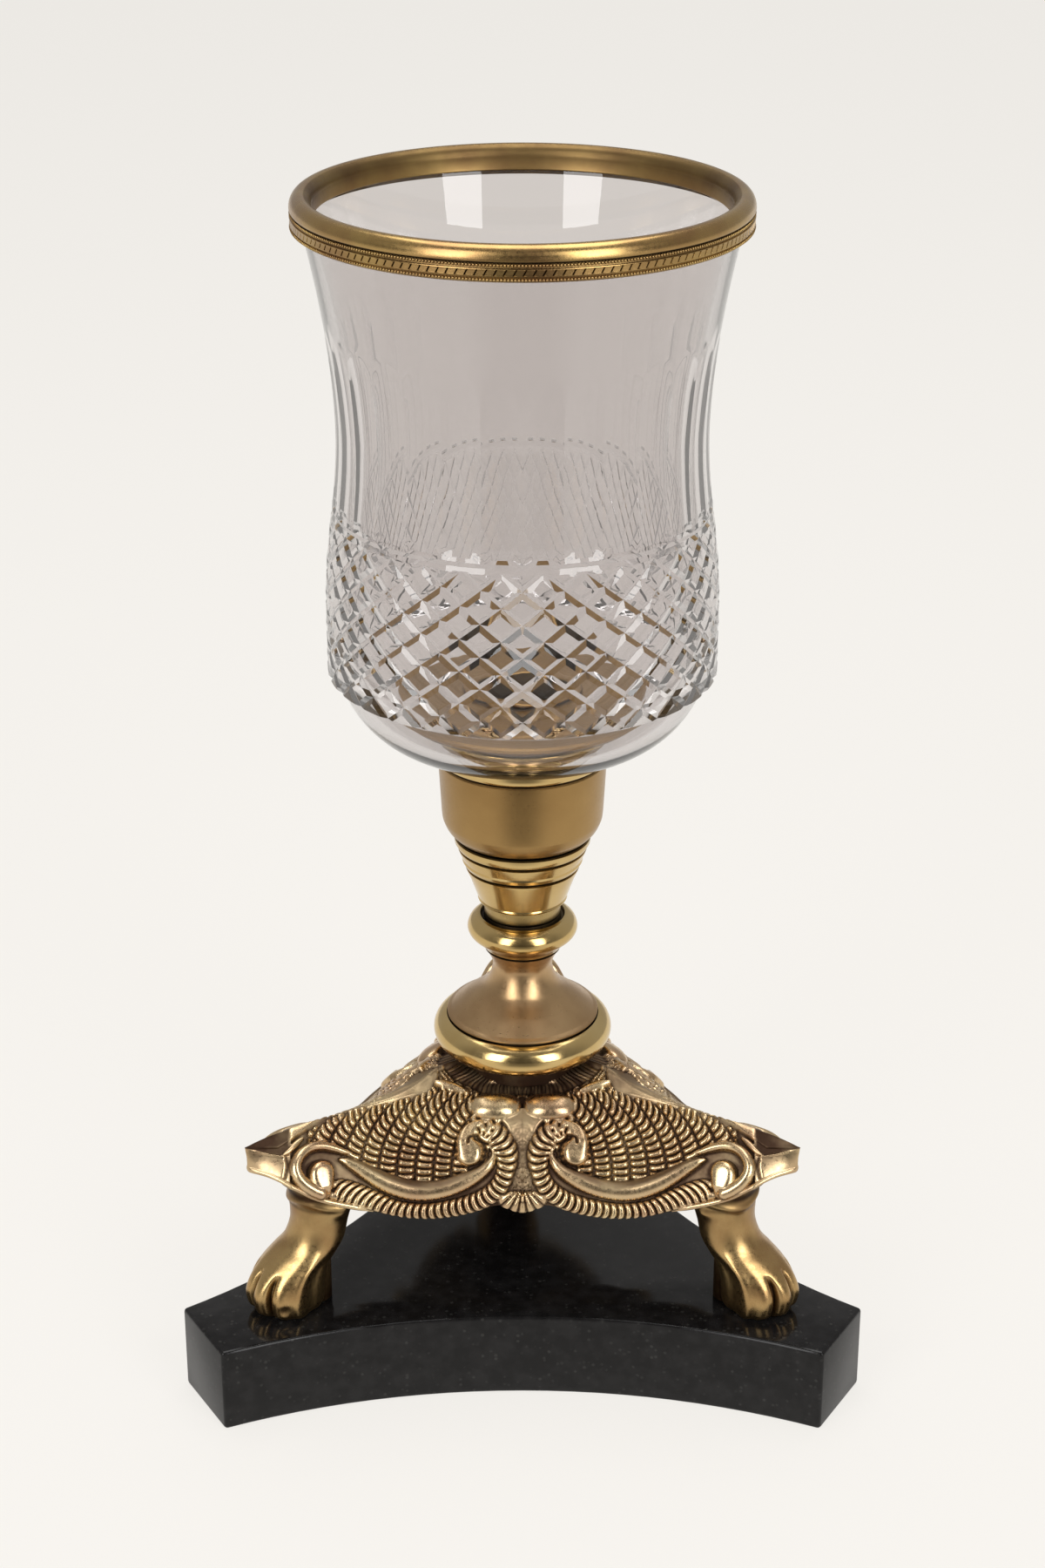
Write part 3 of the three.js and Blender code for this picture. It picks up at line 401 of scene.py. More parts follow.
def addLamps():
    for name, (place, size, watts) in studio["softboxes"].items():
        data = bpy.data.lights.new(name, "AREA")
        data.shape = "RECTANGLE"
        data.size, data.size_y = size
        data.energy = watts
        lamp = bpy.data.objects.new(name, data)
        lamp.location = place
        lamp.visible_camera = lamp.visible_transmission = False
        lamp.rotation_euler = (Vector(studio["aim"]) - Vector(place)).to_track_quat("-Z", "Y").to_euler()
        bpy.context.scene.collection.objects.link(lamp)


addCamera()
addFloor()
addRoom()
addLamps()
bpy.context.scene.view_settings.view_transform = "Standard"
print("camera and studio set")


# Turned brass, from the foot ring up to the collar under the glass

turned = {
    "bore": 4.3, "steps": 144,
    "ring": {"reach": 22.4, "tube": 4.3, "grooveReach": 18.9, "grooveDepth": 0.8},
    "stem": {"flare": 19, "neck": 7.5, "head": 9.4, "lip": 0.55},
    "knop": {"reach": 13.7, "foot": 9.4, "mouth": 9.9},
    "cone": {"neck": 9.7, "foot": 10.9, "top": 17, "neckShare": 0.2, "grooveDepth": 0.75,
             "grooves": (0.61, 0.85), "swell": 0.3},
    "cup": {"shoulder": 19.6, "top": 20.6, "wall": 3, "floor": 3.4},
    "collar": {"reach": 21.3, "bore": 15.4},
}


def addTurned(name, profile, material):
    bm = turn(profile, turned["steps"])
    addPiece(name, meshFrom(bm, name), material, "stand", name)


def footRing():
    size = turned["ring"]
    low, high = levels("foot_ring")
    middle = (low + high) / 2
    centre = size["reach"] - size["tube"]
    groove = size["grooveReach"]
    profile = [(turned["bore"], low, 1), (centre - 0.6, low, 1), (centre - 0.2, low, 0.6)]
    profile += arc(centre, middle, size["tube"], middle - low, -86, 76, 30)
    grooveFloor = high - size["grooveDepth"]
    profile += [(groove + 0.25, high - 0.25, 0.2), (groove + 0.1, grooveFloor, 1),
                (groove - 0.8, grooveFloor, 1), (groove - 0.9, high, 1), (turned["bore"], high, 1)]
    addTurned("foot_ring", profile, polishedBrass)


def stem():
    size = turned["stem"]
    low, high = levels("stem")
    height = high - low
    neck, flare, head = size["neck"], size["flare"], size["head"]
    lip = low + size["lip"]
    profile = [(turned["bore"], low, 1), (flare - 1.2, low, 1), (flare - 0.3, low, 0.9),
               (flare - 0.05, low + 0.15, 0.3), (flare, lip, 0), (flare - 0.25, lip + 0.25, 0)]
    profile += curveThrough([
        (flare - 0.9, lip + 0.45), (neck + 0.62 * (flare - neck), low + 0.21 * height),
        (neck + 0.19 * (flare - neck), low + 0.42 * height), (neck, low + 0.68 * height),
        (neck + 0.3, low + 0.84 * height), (head - 0.25, high - 0.35), (head, high - 0.1)], 10)
    profile += [(head - 0.3, high, 1), (turned["bore"], high, 1)]
    addTurned("stem", profile, wornBrass)


def knop():
    size = turned["knop"]
    low, high = levels("knop")
    height = high - low
    reach, foot, mouth = size["reach"], size["foot"], size["mouth"]
    profile = [(turned["bore"], low, 1), (foot - 0.5, low, 1), (foot, low + 0.12, 0.8)]
    profile += curveThrough([
        (foot + 0.25, low + 0.3, 0.1), (foot + 0.9, low + 0.13 * height),
        (reach - 1.9, low + 0.28 * height), (reach - 0.45, low + 0.44 * height),
        (reach, low + 0.62 * height), (reach - 0.7, low + 0.82 * height),
        (reach - 2.1, low + 0.95 * height), (mouth + 0.65, high - 0.15, 0.2)], 8)
    profile += [(mouth + 0.25, high - 0.8, 1), (mouth - 0.3, high - 0.9, 1), (mouth - 0.6, high, 1),
                (turned["bore"], high, 1)]
    addTurned("knop", profile, polishedBrass)


def cone():
    size = turned["cone"]
    low, high = levels("cup_cone")
    height = high - low
    neck, foot, top, swell = size["neck"], size["foot"], size["top"], size["swell"]
    neckTop = low + size["neckShare"] * height

    def side(level):
        return foot + (top - foot) * (level - neckTop) / (high - neckTop)

    profile = [(turned["bore"], low, 1), (neck - 0.35, low, 1), (neck - 0.2, low + 0.5, 0.7),
               (neck - 0.25, low + 1.6, 0.35), (neck - 0.15, neckTop - 1.3, 0.3),
               (neck - 0.05, neckTop - 0.75, 0.6), (foot - 0.25, neckTop - 0.6, 0.3),
               (foot + 0.1, neckTop - 0.3, 0), (foot + 0.2, neckTop, 0), (foot + 0.05, neckTop + 0.35, 0),
               (side(neckTop + 1.2), neckTop + 1.2, 0)]
    for share in size["grooves"]:
        middle = low + share * height
        grooveFloor = side(middle) - size["grooveDepth"]
        profile += [(side(middle - 3.0), middle - 3.0, 0), (side(middle - 1.2) + swell / 2, middle - 1.2, 0),
                    (side(middle - 0.35) + swell / 2, middle - 0.35, 0), (grooveFloor, middle - 0.05, 1),
                    (grooveFloor, middle + 0.3, 1), (side(middle + 0.6) + 0.1, middle + 0.6, 0.1),
                    (side(middle + 1.6) + swell, middle + 1.6, 0)]
    profile += [(side(high - 1.0) + 0.1, high - 1.0, 0), (side(high - 0.45), high - 0.45, 0.15),
                (top - size["grooveDepth"], high - 0.15, 1), (top - 1.2, high, 1), (turned["bore"], high, 1)]
    addTurned("cup_cone", profile, polishedBrass)


def cup():
    size = turned["cup"]
    low, high = levels("socket_cup")
    coneTop = turned["cone"]["top"]
    shoulder, top, wall = size["shoulder"], size["top"], size["wall"]
    floor = low + size["floor"]
    profile = [(turned["bore"], low, 1), (coneTop - 1.1, low, 1), (coneTop - 0.5, low + 0.15, 0.9),
               (coneTop + 0.05, low + 0.5, 0.1)]
    profile += curveThrough([
        (coneTop + 0.25, low + 0.75), (coneTop + 1.5, low + 2.1), (shoulder - 0.25, low + 3.9),
        (shoulder + 0.12, low + 5.6), (shoulder + 0.45, low + 11), (top - 0.1, high - 1.2)], 8)
    profile += [(top - 0.1, high - 0.55, 0), (top - 0.35, high - 0.25, 0.4), (top - 0.6, high, 1),
                (top - wall, high, 1), (shoulder - wall, low + 4.6, 0.6), (coneTop - wall, floor, 0.8),
                (turned["bore"], floor, 0.8)]
    addTurned("socket_cup", profile, satinBrass)


def collar():
    low, high = levels("seat_collar")
    reach, bore = turned["collar"]["reach"], turned["collar"]["bore"]
    bulge = 0.9
    profile = [(bore, low, 0.6), (reach - 1.5, low, 1), (reach - bulge, low + 0.12, 0.7)]
    profile += arc(reach - bulge, (low + high) / 2, bulge, (high - low) / 2 - 0.1, -62, 62, 12)
    profile += [(reach - 1.1, high, 0.4), (bore, high, 0.4)]
    addTurned("seat_collar", profile, polishedBrass)


footRing()
stem()
knop()
cone()
cup()
collar()
print("turned brass made")


# Fasteners and soft rings

fasteners = {
    "rod": 4, "pitch": 1.25, "thread": 0.35, "flats": 6.5, "washer": 8,
    "bolt": 2.5, "boltPitch": 0.8, "boltThread": 0.25, "plainShank": 6, "boltHead": 5, "boltHeadHeight": 3.5,
    "key": 2.1, "keyDepth": 1.9, "boltCircle": 60, "boltHole": 2.8, "boltWasher": 5.6,
}
softRings = {"seat": (15.4, 20.3), "plate": (14.4, 21), "cement": (48.9, 51.2)}  # inner and outer reach


def threads(reach, depth, low, high, pitch):
    # Stations for a threaded shank, with rings at the thread's pitch
    count = int((high - low) / pitch)
    stations = []
    for i in range(count):
        level = low + i * (high - low) / count
        stations += [(reach - depth, level, 0.5), (reach, level + pitch / 2, 0)]
    return stations + [(reach - depth, high, 0.3)]


def hexShape(bm, halfFlats, axis, within):
    # Moves the points of a turned piece that lie within a reach on to a hexagon. Where the reach goes
    # past the hexagon's points, it only cuts inwards, as on a nut's chamfered faces.
    for vert in bm.verts:
        x, y = vert.co.x - axis[0], vert.co.y - axis[1]
        reach = math.hypot(x, y)
        if within[0] < reach < within[1]:
            share = hexReach(x, y, halfFlats) / reach
            if within[1] > halfFlats + 2:
                share = min(1, share)
            vert.co = (axis[0] + x * share, axis[1] + y * share, vert.co.z)


def boltAxis(angle):
    turnBy = math.radians(angle)
    return fasteners["boltCircle"] * math.cos(turnBy), fasteners["boltCircle"] * math.sin(turnBy)


def nut(name):
    low, high = levels(name)
    flats, bore = fasteners["flats"], turned["bore"]
    point = flats / math.cos(math.radians(30))
    profile = [(bore, low, 1), (bore + 0.5, low, 0.3), (flats - 0.1, low, 0), (point + 0.02, low + 0.8, 0)]
    profile += [(reach, low + high - level, patinaAndShadeShare) for reach, level, patinaAndShadeShare in profile[::-1]]
    bm = turn(profile, 72)
    hexShape(bm, flats, (0, 0), (flats - 0.5, point + 3))
    addPiece(name, meshFrom(bm, name), steel, "stand", name)


def rod():
    low, high = levels("tie_rod")
    reach = fasteners["rod"]
    profile = [(0, low, 0), (reach - 0.9, low, 0), (reach - 0.4, low + 0.5, 0)]
    profile += threads(reach, fasteners["thread"], low + 0.8, high - 0.8, fasteners["pitch"])
    profile += [(reach - 0.9, high, 0), (0, high, 0)]
    bm = turn(profile, 32, closed=False)
    addPiece("tie_rod", meshFrom(bm, "tie_rod"), steel, "stand", "tie_rod")


def washer(name, inner, outer, material, slot, body="stand", axis=(0, 0), edge=0.15, steps=96):
    low, high = levels(name)
    profile = [(inner, low + edge, 0.4), (inner + edge, low, 0.2),
               (outer - edge, low, 0), (outer, low + edge, 0)]
    profile += [(reach, low + high - level, patinaAndShadeShare) for reach, level, patinaAndShadeShare in profile[::-1]]
    bm = turn(profile, steps, axis)
    addPiece(name, meshFrom(bm, name), material, body, name)


def legBolt(place, angle):
    name = f"leg_bolt_{place}"
    low, high = levels(name)
    head, shank = fasteners["boltHead"], fasteners["bolt"]
    headTop = low + fasteners["boltHeadHeight"]
    threadStart = headTop + fasteners["plainShank"]
    axis = boltAxis(angle)
    key, depth = fasteners["key"], fasteners["keyDepth"]
    profile = [(0, low + depth, 0.9), (key, low + depth, 0.9), (key, low + 0.2, 0.4),
               (key + 0.45, low, 0), (head - 0.4, low, 0), (head, low + 0.4, 0),
               (head, headTop - 0.1, 0), (head - 0.1, headTop, 0), (shank, headTop, 0.4)]
    profile += threads(shank, fasteners["boltThread"], threadStart, high - 0.6, fasteners["boltPitch"])
    profile += [(shank - 0.6, high, 0), (0, high, 0)]
    bm = turn(profile, 48, axis, closed=False)
    hexShape(bm, key, axis, (key - 0.3, key + 0.2))
    addPiece(name, meshFrom(bm, name), steel, "stand", name)


rod()
for nutName in ("casting_nut", "cup_nut"):
    nut(nutName)
for washerName in ("casting_washer", "cup_washer"):
    washer(washerName, turned["bore"], fasteners["washer"], steel, "zinc_steel")
for place, angle in cornerAngles.items():
    legBolt(place, angle)
    washer(f"leg_bolt_washer_{place}", fasteners["boltHole"], fasteners["boltWasher"], steel, "zinc_steel",
           axis=boltAxis(angle), steps=48)
washer("seat_gasket", *softRings["seat"], rubber, "rubber", edge=0.25)
washer("plate_gasket", *softRings["plate"], rubber, "rubber", "candle_holder", edge=0.4)
washer("rim_cement", *softRings["cement"], cement, "cement", "shade", edge=0.2)
print("fasteners and soft rings made")


# Glass shade: thirty flutes above the ring groove, five rows of cut diamonds below it

glass = {
    "hole": 14.2, "foot": 22, "belly": 46.65, "bellyHeight": 34.7, "bowlFullness": 2.3,
    "waist": 43.3, "waistHeight": 77.5, "mouth": 50.7, "flarePower": 1.7,
    "wall": 3.6, "mouthWall": 1.9, "floor": 5,
    "around": 30, "finePerCell": 10, "cellHeight": 7.7, "cellRows": 5, "latticeTop": 57.0,
    "cutWidth": 0.18, "cutDepth": 0.58, "tilt": 0.1,
    "ringHeight": 58.2, "ringDepth": 0.45, "ringWidth": 2.4,
    "fluteStart": 60.2, "fluteTop": 103, "fluteArch": 11, "fluteDepth": 0.5,
}


def glassReach(height, total):
    # Outer radius above the belly, with the height counted from the glass's foot
    if height < glass["waistHeight"]:
        share = (height - glass["bellyHeight"]) / (glass["waistHeight"] - glass["bellyHeight"])
        return glass["belly"] + (glass["waist"] - glass["belly"]) * (1 - math.cos(math.pi * share)) / 2
    share = (height - glass["waistHeight"]) / (total - glass["waistHeight"])
    return glass["waist"] + (glass["mouth"] - glass["waist"]) * share ** glass["flarePower"]


def bowlStation(share, foot, belly, floor):
    angle = share * math.pi / 2
    power = 2 / glass["bowlFullness"]
    reach = foot + (belly - foot) * math.sin(angle) ** power
    height = glass["bellyHeight"] + (floor - glass["bellyHeight"]) * max(0, math.cos(angle)) ** power
    return reach, height


def evenly(start, end, steps):
    return [start + (end - start) * i / steps for i in range(steps)]


def cutLattice(turns, height):
    # Depth of the crossed cuts. Their lines are where across + up or across - up is a whole number.
    across = turns * glass["around"]
    up = (glass["latticeTop"] - height) / glass["cellHeight"]
    rising = np.abs(across + up - np.round(across + up))
    falling = np.abs(across - up - np.round(across - up))
    nearest = np.minimum(rising, falling)
    depth = glass["cutDepth"] * np.clip(1 - nearest / glass["cutWidth"], 0, 1)
    top, left = np.floor(across + up), np.floor(across - up)
    lean = glass["tilt"] * np.sin(12.9898 * top + 78.233 * left)
    inner = np.clip(nearest / glass["cutWidth"] - 1, 0, 1)
    return depth + lean * inner * ((across + up - top) - 0.5)


def cutFlutes(turns, height):
    side = 2 * np.abs(turns * glass["around"] - np.round(turns * glass["around"]))
    runOut = np.clip((height - glass["fluteTop"] + glass["fluteArch"]) / glass["fluteArch"], 0, None)
    return glass["fluteDepth"] * np.clip(1 - side ** 2 - runOut ** 2, 0, 1)


def splitAlongCuts(bm, base):
    # Lattice quads are split along the direction of the nearest cut, so that its edges stay straight
    low = base + glass["latticeTop"] - glass["cellHeight"] * glass["cellRows"]
    high = base + glass["latticeTop"]
    for face in list(bm.faces):
        middle = face.calc_center_median()
        facesIn = face.normal.dot((middle.x, middle.y, 0)) < 0
        if len(face.verts) != 4 or facesIn or not low < middle.z < high:
            continue
        heading = math.atan2(middle.y, middle.x)
        across = heading / (2 * math.pi) * glass["around"]
        up = (high - middle.z) / glass["cellHeight"]
        rising = abs(across + up - round(across + up))
        falling = abs(across - up - round(across - up))
        slope = 1 if rising < falling else -1

        def along(vert):
            swing = math.sin(math.atan2(vert.co.y, vert.co.x) - heading)
            return slope * swing + (vert.co.z - middle.z) / glass["cellHeight"]

        corners = sorted(face.verts, key=along)
        bmesh.utils.face_split(face, corners[0], corners[-1])


def glassShade():
    low, high = levels("glass_shade")
    total = high - low
    steps = glass["around"] * glass["finePerCell"]
    latticeTop, ring = glass["latticeTop"], glass["ringHeight"]
    latticeFoot = latticeTop - glass["cellHeight"] * glass["cellRows"]
    archFoot = glass["fluteTop"] - glass["fluteArch"]
    mouth, mouthWall, wall = glass["mouth"], glass["mouthWall"], glass["wall"]
    # Outside, from the foot up. A height without a reach takes it from the glass's curve.
    bowl = [bowlStation(i / 40, glass["foot"], glass["belly"], 0) for i in range(41)]
    heights = evenly(latticeFoot, latticeTop, glass["cellRows"] * glass["finePerCell"])
    heights += [latticeTop, ring - glass["ringWidth"] / 2 + 0.3, ring - 0.5, ring, ring + 0.5,
                ring + glass["ringWidth"] / 2]
    heights += evenly(glass["fluteStart"], archFoot, 14) + evenly(archFoot, glass["fluteTop"], 24)
    heights += evenly(glass["fluteTop"], total - 0.4, 14)
    outside = [(glass["hole"] + 0.5, 0), (glass["foot"] - 0.8, 0)]
    outside += [station for station in bowl if station[1] < latticeFoot - 0.3]
    outside += [(None, height) for height in heights]
    outside += [(mouth - 0.05, total - 0.3), (mouth - 0.35, total)]
    profile = []
    for reach, height in outside:
        if reach is None:
            if height < glass["bellyHeight"]:
                share = np.interp(-height, [-s[1] for s in bowl], range(41)) / 40
                reach, _ = bowlStation(share, glass["foot"], glass["belly"], 0)
            else:
                reach = glassReach(height, total)
        profile.append((reach, low + height))
    # Inside, from the mouth down, with the wall thinner towards the mouth
    inside = [(mouth - mouthWall + 0.35, total), (mouth - mouthWall + 0.05, total - 0.3)]
    for height in evenly(total - 0.6, glass["bellyHeight"] + 1, 40):
        share = max(0, (height - glass["waistHeight"]) / (total - glass["waistHeight"]))
        inside.append((glassReach(height, total) - wall - (mouthWall - wall) * share, height))
    for i in range(26, -1, -1):
        inside.append(bowlStation(i / 26, glass["foot"] + wall, glass["belly"] - wall, glass["floor"]))
    hole, floor = glass["hole"], glass["floor"]
    inside += [(hole + 0.5, floor), (hole, floor - 0.5), (hole, 0.5)]
    profile += [(reach, low + height) for reach, height in inside]
    bm = turn(profile, steps)
    splitAlongCuts(bm, low)
    # The cuts go into the outer skin, which is the one clear of the inside's curve
    mesh = meshFrom(bm, "glass_shade")
    points = pointsOf(mesh)
    reach = np.hypot(points[:, 0], points[:, 1])
    height = points[:, 2] - low
    turns = np.arctan2(points[:, 1], points[:, 0]) / (2 * math.pi)
    rising = inside[::-1][2:]
    outer = reach > np.interp(height, [s[1] for s in rising], [s[0] for s in rising]) + 0.8
    inLattice = (height > latticeFoot - 0.1) & (height < latticeTop + 0.1)
    cut = np.where(inLattice, cutLattice(turns, height), 0)
    cut += np.where(height > glass["fluteStart"] - 0.1, cutFlutes(turns, height), 0)
    cut += glass["ringDepth"] * np.clip(1 - np.abs(height - ring) / (glass["ringWidth"] / 2), 0, 1)
    cut = np.where(outer, cut, 0)
    points[:, :2] *= ((reach - cut) / reach)[:, None]
    mesh.vertices.foreach_set("co", points.ravel())
    addPiece("glass_shade", mesh, clearGlass, "shade", "glass_shade", sharpAngle=18)


glassShade()
print("glass made")


# Rim: rolled bead with its skirt, and the band of ticks between two beaded rows

rim = {
    "skirtInner": 47.4, "skirtFoot": 47.04, "skirtThickness": 0.8,
    "inner": 51.3, "outer": 52.5, "beadHeight": 3.0, "overlap": 0.4,
    "beads": 440, "beadReach": 0.38, "lowerRow": 0.6, "upperRow": 0.5, "bandSink": 0.45, "stripSink": 0.12,
    "stripLow": 1.35, "stripHigh": 3.0,
    "ticks": 157, "tickWidth": 0.42, "tickLean": 0.9, "tickDepth": 0.5, "finePerTick": 4,
}


def rimBead():
    low, high = levels("rim_bead")
    under = high - rim["beadHeight"]
    middle = (rim["skirtInner"] + rim["outer"]) / 2
    half = (rim["outer"] - rim["skirtInner"]) / 2
    foot = rim["skirtFoot"]
    thick = rim["skirtThickness"]
    lap = under - rim["overlap"]
    profile = [(foot + 0.15, low, 0.4), (foot + thick - 0.1, low, 0.6),
               (rim["skirtInner"] + thick, under, 0.8), (rim["inner"], under, 0.8),
               (rim["inner"], lap, 1), (rim["outer"] - 0.15, lap, 0.9)]
    profile += arc(middle, under, half, rim["beadHeight"], -3, 105, 22)
    # The bead's inward-facing half is darker.
    profile += arc(middle, under, half, rim["beadHeight"], 112, 183, 14, 0.6)
    profile += [(foot, low + 0.2, 0.2)]
    mesh = meshFrom(turn(profile, 288), "rim_bead")
    addPiece("rim_bead", mesh, rimBrass, "shade", "rim_bead")


def beadedRow(level, reach):
    # A row of fine beads round the band, each a small sphere sunk in it by half
    bm = bmesh.new()
    for i in range(rim["beads"]):
        angle = 2 * math.pi * i / rim["beads"]
        place = Matrix.Translation((reach * math.cos(angle), reach * math.sin(angle), level))
        bmesh.ops.create_uvsphere(bm, u_segments=6, v_segments=4, radius=rim["beadReach"], matrix=place)
    return bm


def rimBand():
    low, high = levels("rim_band")
    back = rim["inner"]
    face = rim["outer"] - rim["bandSink"]
    strip = rim["outer"] - rim["stripSink"]
    bottom, top = low + rim["stripLow"], low + rim["stripHigh"]
    profile = [(back - 0.3, low + 0.1, 0.8), (face - 0.2, low, 0.7), (face, low + 0.25, 0.4),
               (face, low + 0.95, 0.5), (face + 0.1, bottom - 0.12, 0.4), (strip, bottom, 0),
               (strip + 0.02, bottom + 0.12, 0)]
    profile += [(strip, height, 0.1) for height in evenly(bottom + 0.3, top - 0.2, 7)]
    profile += [(strip + 0.1, top - 0.15, 0), (strip + 0.06, top, 0), (face + 0.1, top + 0.12, 0.4),
                (face, top + 0.3, 0.5), (face, high - 0.15, 0.6), (face - 0.2, high, 0.9), (back, high, 1)]
    fine = rim["finePerTick"]
    mesh = meshFrom(turn(profile, rim["ticks"] * fine), "rim_band")
    # One column in four sinks as a tick, the two beside it close in on it, and all three lean over
    points = pointsOf(mesh)
    patinaAndShade = np.empty(len(mesh.vertices))
    mesh.attributes["patinaAndShade"].data.foreach_get("value", patinaAndShade)
    reach = np.hypot(points[:, 0], points[:, 1])
    height = points[:, 2]
    heading = np.arctan2(points[:, 1], points[:, 0])
    column = np.round((heading / (2 * math.pi) * rim["ticks"] % 1) * fine) % fine
    onStrip = (reach > strip - 0.02) & (height > bottom + 0.2) & (height < top - 0.25)
    tick = onStrip & (column == 0)
    beside = onStrip & ((column == 1) | (column == fine - 1))
    sunk = reach - np.where(tick, rim["tickDepth"], 0)
    lean = (height - (bottom + top) / 2) / (top - bottom) * rim["tickLean"]
    spare = 2 * math.pi * rim["outer"] / rim["ticks"] / fine - rim["tickWidth"] / 2
    draw = np.where(beside, spare, 0) * np.where(column == 1, -1, 1)
    heading += np.where(onStrip, lean + draw, 0) / reach
    points[:, 0] = sunk * np.cos(heading)
    points[:, 1] = sunk * np.sin(heading)
    mesh.vertices.foreach_set("co", points.ravel())
    mesh.attributes["patinaAndShade"].data.foreach_set("value", np.where(tick, 1, patinaAndShade).astype(np.float32))
    addPiece("rim_band", mesh, rimBrass, "shade", "rim_band")
    rows = {"rim_beads_lower": low + rim["lowerRow"], "rim_beads_upper": high - rim["upperRow"]}
    for name, level in rows.items():
        beads = meshFrom(beadedRow(level, face + 0.1), name)
        addPiece(name, beads, rimBrass, "shade", "rim_band", sharpAngle=80)


rimBead()
rimBand()
print("rim made")


# Candle plate and socket

plate = {"reach": 31.5, "chamfer": 1.6, "rings": 10, "hole": 11.4, "wall": 1.2, "lip": 2, "lipRound": 0.6,
         "clearance": 0.3, "boss": 7, "socketFloor": 2.6}


def candlePlate():
    low, high = levels("candle_plate")
    bore = plate["hole"] + plate["wall"] + plate["clearance"]
    reach, chamfer = plate["reach"], plate["chamfer"]
    profile = [(bore, low, 0.8), (reach - chamfer, low, 0.5), (reach - 0.5, low + chamfer - 0.5, 0.3),
               (reach, low + chamfer, 0), (reach - 0.05, high - 0.5, 0), (reach - 0.5, high - 0.05, 0)]
    for share in evenly(0, 1, plate["rings"]):
        middle = reach - 1.5 - share * (reach - bore - 4)
        profile += [(middle, high, 0.05), (middle - 0.6, high - 0.06, 0.15)]
    profile += [(bore + 1.5, high, 0.1), (bore + 0.2, high - 0.05, 0.5)]
    mesh = meshFrom(turn(profile, 144), "candle_plate")
    addPiece("candle_plate", mesh, satinBrass, "candle_holder", "candle_plate")


def candleSocket():
    low, high = levels("candle_socket")
    plateTop = levels("candle_plate")[1]
    hole, outer = plate["hole"], plate["hole"] + plate["wall"]
    lipBottom = plateTop + plate["clearance"]
    under = levels("tie_rod")[1] + plate["clearance"]
    inside = under + plate["socketFloor"]
    bore, boss, lipRound = turned["bore"], plate["boss"], plate["lipRound"]
    profile = [(0, under, 0.8), (bore, under, 0.8), (bore, low + 0.3, 0.6), (bore + 0.3, low, 0.3),
               (boss - 0.4, low, 0.1), (boss, low + 0.4, 0.1), (boss, under, 0.5),
               (outer - 0.6, under, 0.5), (outer, under + 0.6, 0.3), (outer, lipBottom, 0.5)]
    profile += arc(outer + plate["lip"] - lipRound, (lipBottom + high) / 2, lipRound, (high - lipBottom) / 2,
                   -90, 90, 10)
    profile += [(hole + 0.5, high, 0.1), (hole, high - 0.4, 0.3), (hole, inside + 1.5, 0.9),
                (hole - 1.2, inside, 1), (0, inside, 1)]
    mesh = meshFrom(turn(profile, 96, closed=False), "candle_socket")
    addPiece("candle_socket", mesh, satinBrass, "candle_holder", "candle_socket")


candlePlate()
candleSocket()
print("candle plate and socket made")


# Granite slab: three hollowed sides, cut corners, an arris that catches the light, bolt pockets below

slab = {"cornerReach": 91.6, "cornerWidth": 23.1, "sideReach": 40, "arris": 0.9, "sideSteps": 24,
        "pocket": 6.5, "pocketDepth": 9, "bore": 2.8}


def slabOutline():
    corners = []
    for angle in cornerAngles.values():
        out = Vector((math.cos(math.radians(angle)), math.sin(math.radians(angle))))
        across = Vector((-out.y, out.x)) * slab["cornerWidth"] / 2
        corners.append((out * slab["cornerReach"] - across, out * slab["cornerReach"] + across))
    outline = []
    for (start, end), (following, _) in zip(corners, corners[1:] + corners[:1]):
        chord = (following - end).length / 2
        outward = (end + following).normalized()
        sagitta = (end + following).length / 2 - slab["sideReach"]
        radius = (chord ** 2 + sagitta ** 2) / (2 * sagitta)
        centre = outward * (slab["sideReach"] + radius)
        sweep = math.asin(chord / radius)
        inward = math.atan2(-outward.y, -outward.x)
        outline += [start, end]
        for i in range(1, slab["sideSteps"]):
            angle = inward + sweep - 2 * sweep * i / slab["sideSteps"]
            outline.append(centre + Vector((math.cos(angle), math.sin(angle))) * radius)
    return outline


def graniteSlab():
    low, high = levels("granite_slab")
    bm = bmesh.new()
    face = bm.faces.new([bm.verts.new((x, y, low)) for x, y in slabOutline()])
    raised = bmesh.ops.extrude_face_region(bm, geom=[face])
    top = [part for part in raised["geom"] if isinstance(part, bmesh.types.BMVert)]
    bmesh.ops.translate(bm, verts=top, vec=(0, 0, high - low))
    bmesh.ops.recalc_face_normals(bm, faces=bm.faces)
    edges = [e for e in bm.edges if len(e.link_faces) == 2 and e.calc_face_angle() > math.radians(25)]
    bmesh.ops.bevel(bm, geom=edges, offset=slab["arris"], affect="EDGES", segments=3, profile=0.5,
                    material=-1)
    mesh = meshFrom(bm, "granite_slab")
    cutters = bmesh.new()
    pocket = (slab["pocket"], low - 1, low + slab["pocketDepth"])
    bore = (slab["bore"], low, high + 1)
    for angle in cornerAngles.values():
        toCorner = Matrix.Rotation(math.radians(angle), 4, "Z")
        for reach, bottom, top in (pocket, bore):
            place = toCorner @ Matrix.Translation((fasteners["boltCircle"], 0, (bottom + top) / 2))
            bmesh.ops.create_cone(cutters, cap_ends=True, segments=40, radius1=reach, radius2=reach,
                                  depth=top - bottom, matrix=place)
    block = addPiece("granite_slab", mesh, granite, "stand", "granite_slab", sharpAngle=30)
    tool = bpy.data.objects.new("bolt holes", meshFrom(cutters, "bolt holes"))
    tool.data.transform(Matrix.Scale(millimetre, 4))
    bpy.context.scene.collection.objects.link(tool)
    cut = block.modifiers.new("bolt holes", "BOOLEAN")
    cut.object = tool
    cut.operation = "DIFFERENCE"
    cut.solver = "EXACT"
    cut.use_self = True
    applyModifiers(block)
    bpy.data.objects.remove(tool)


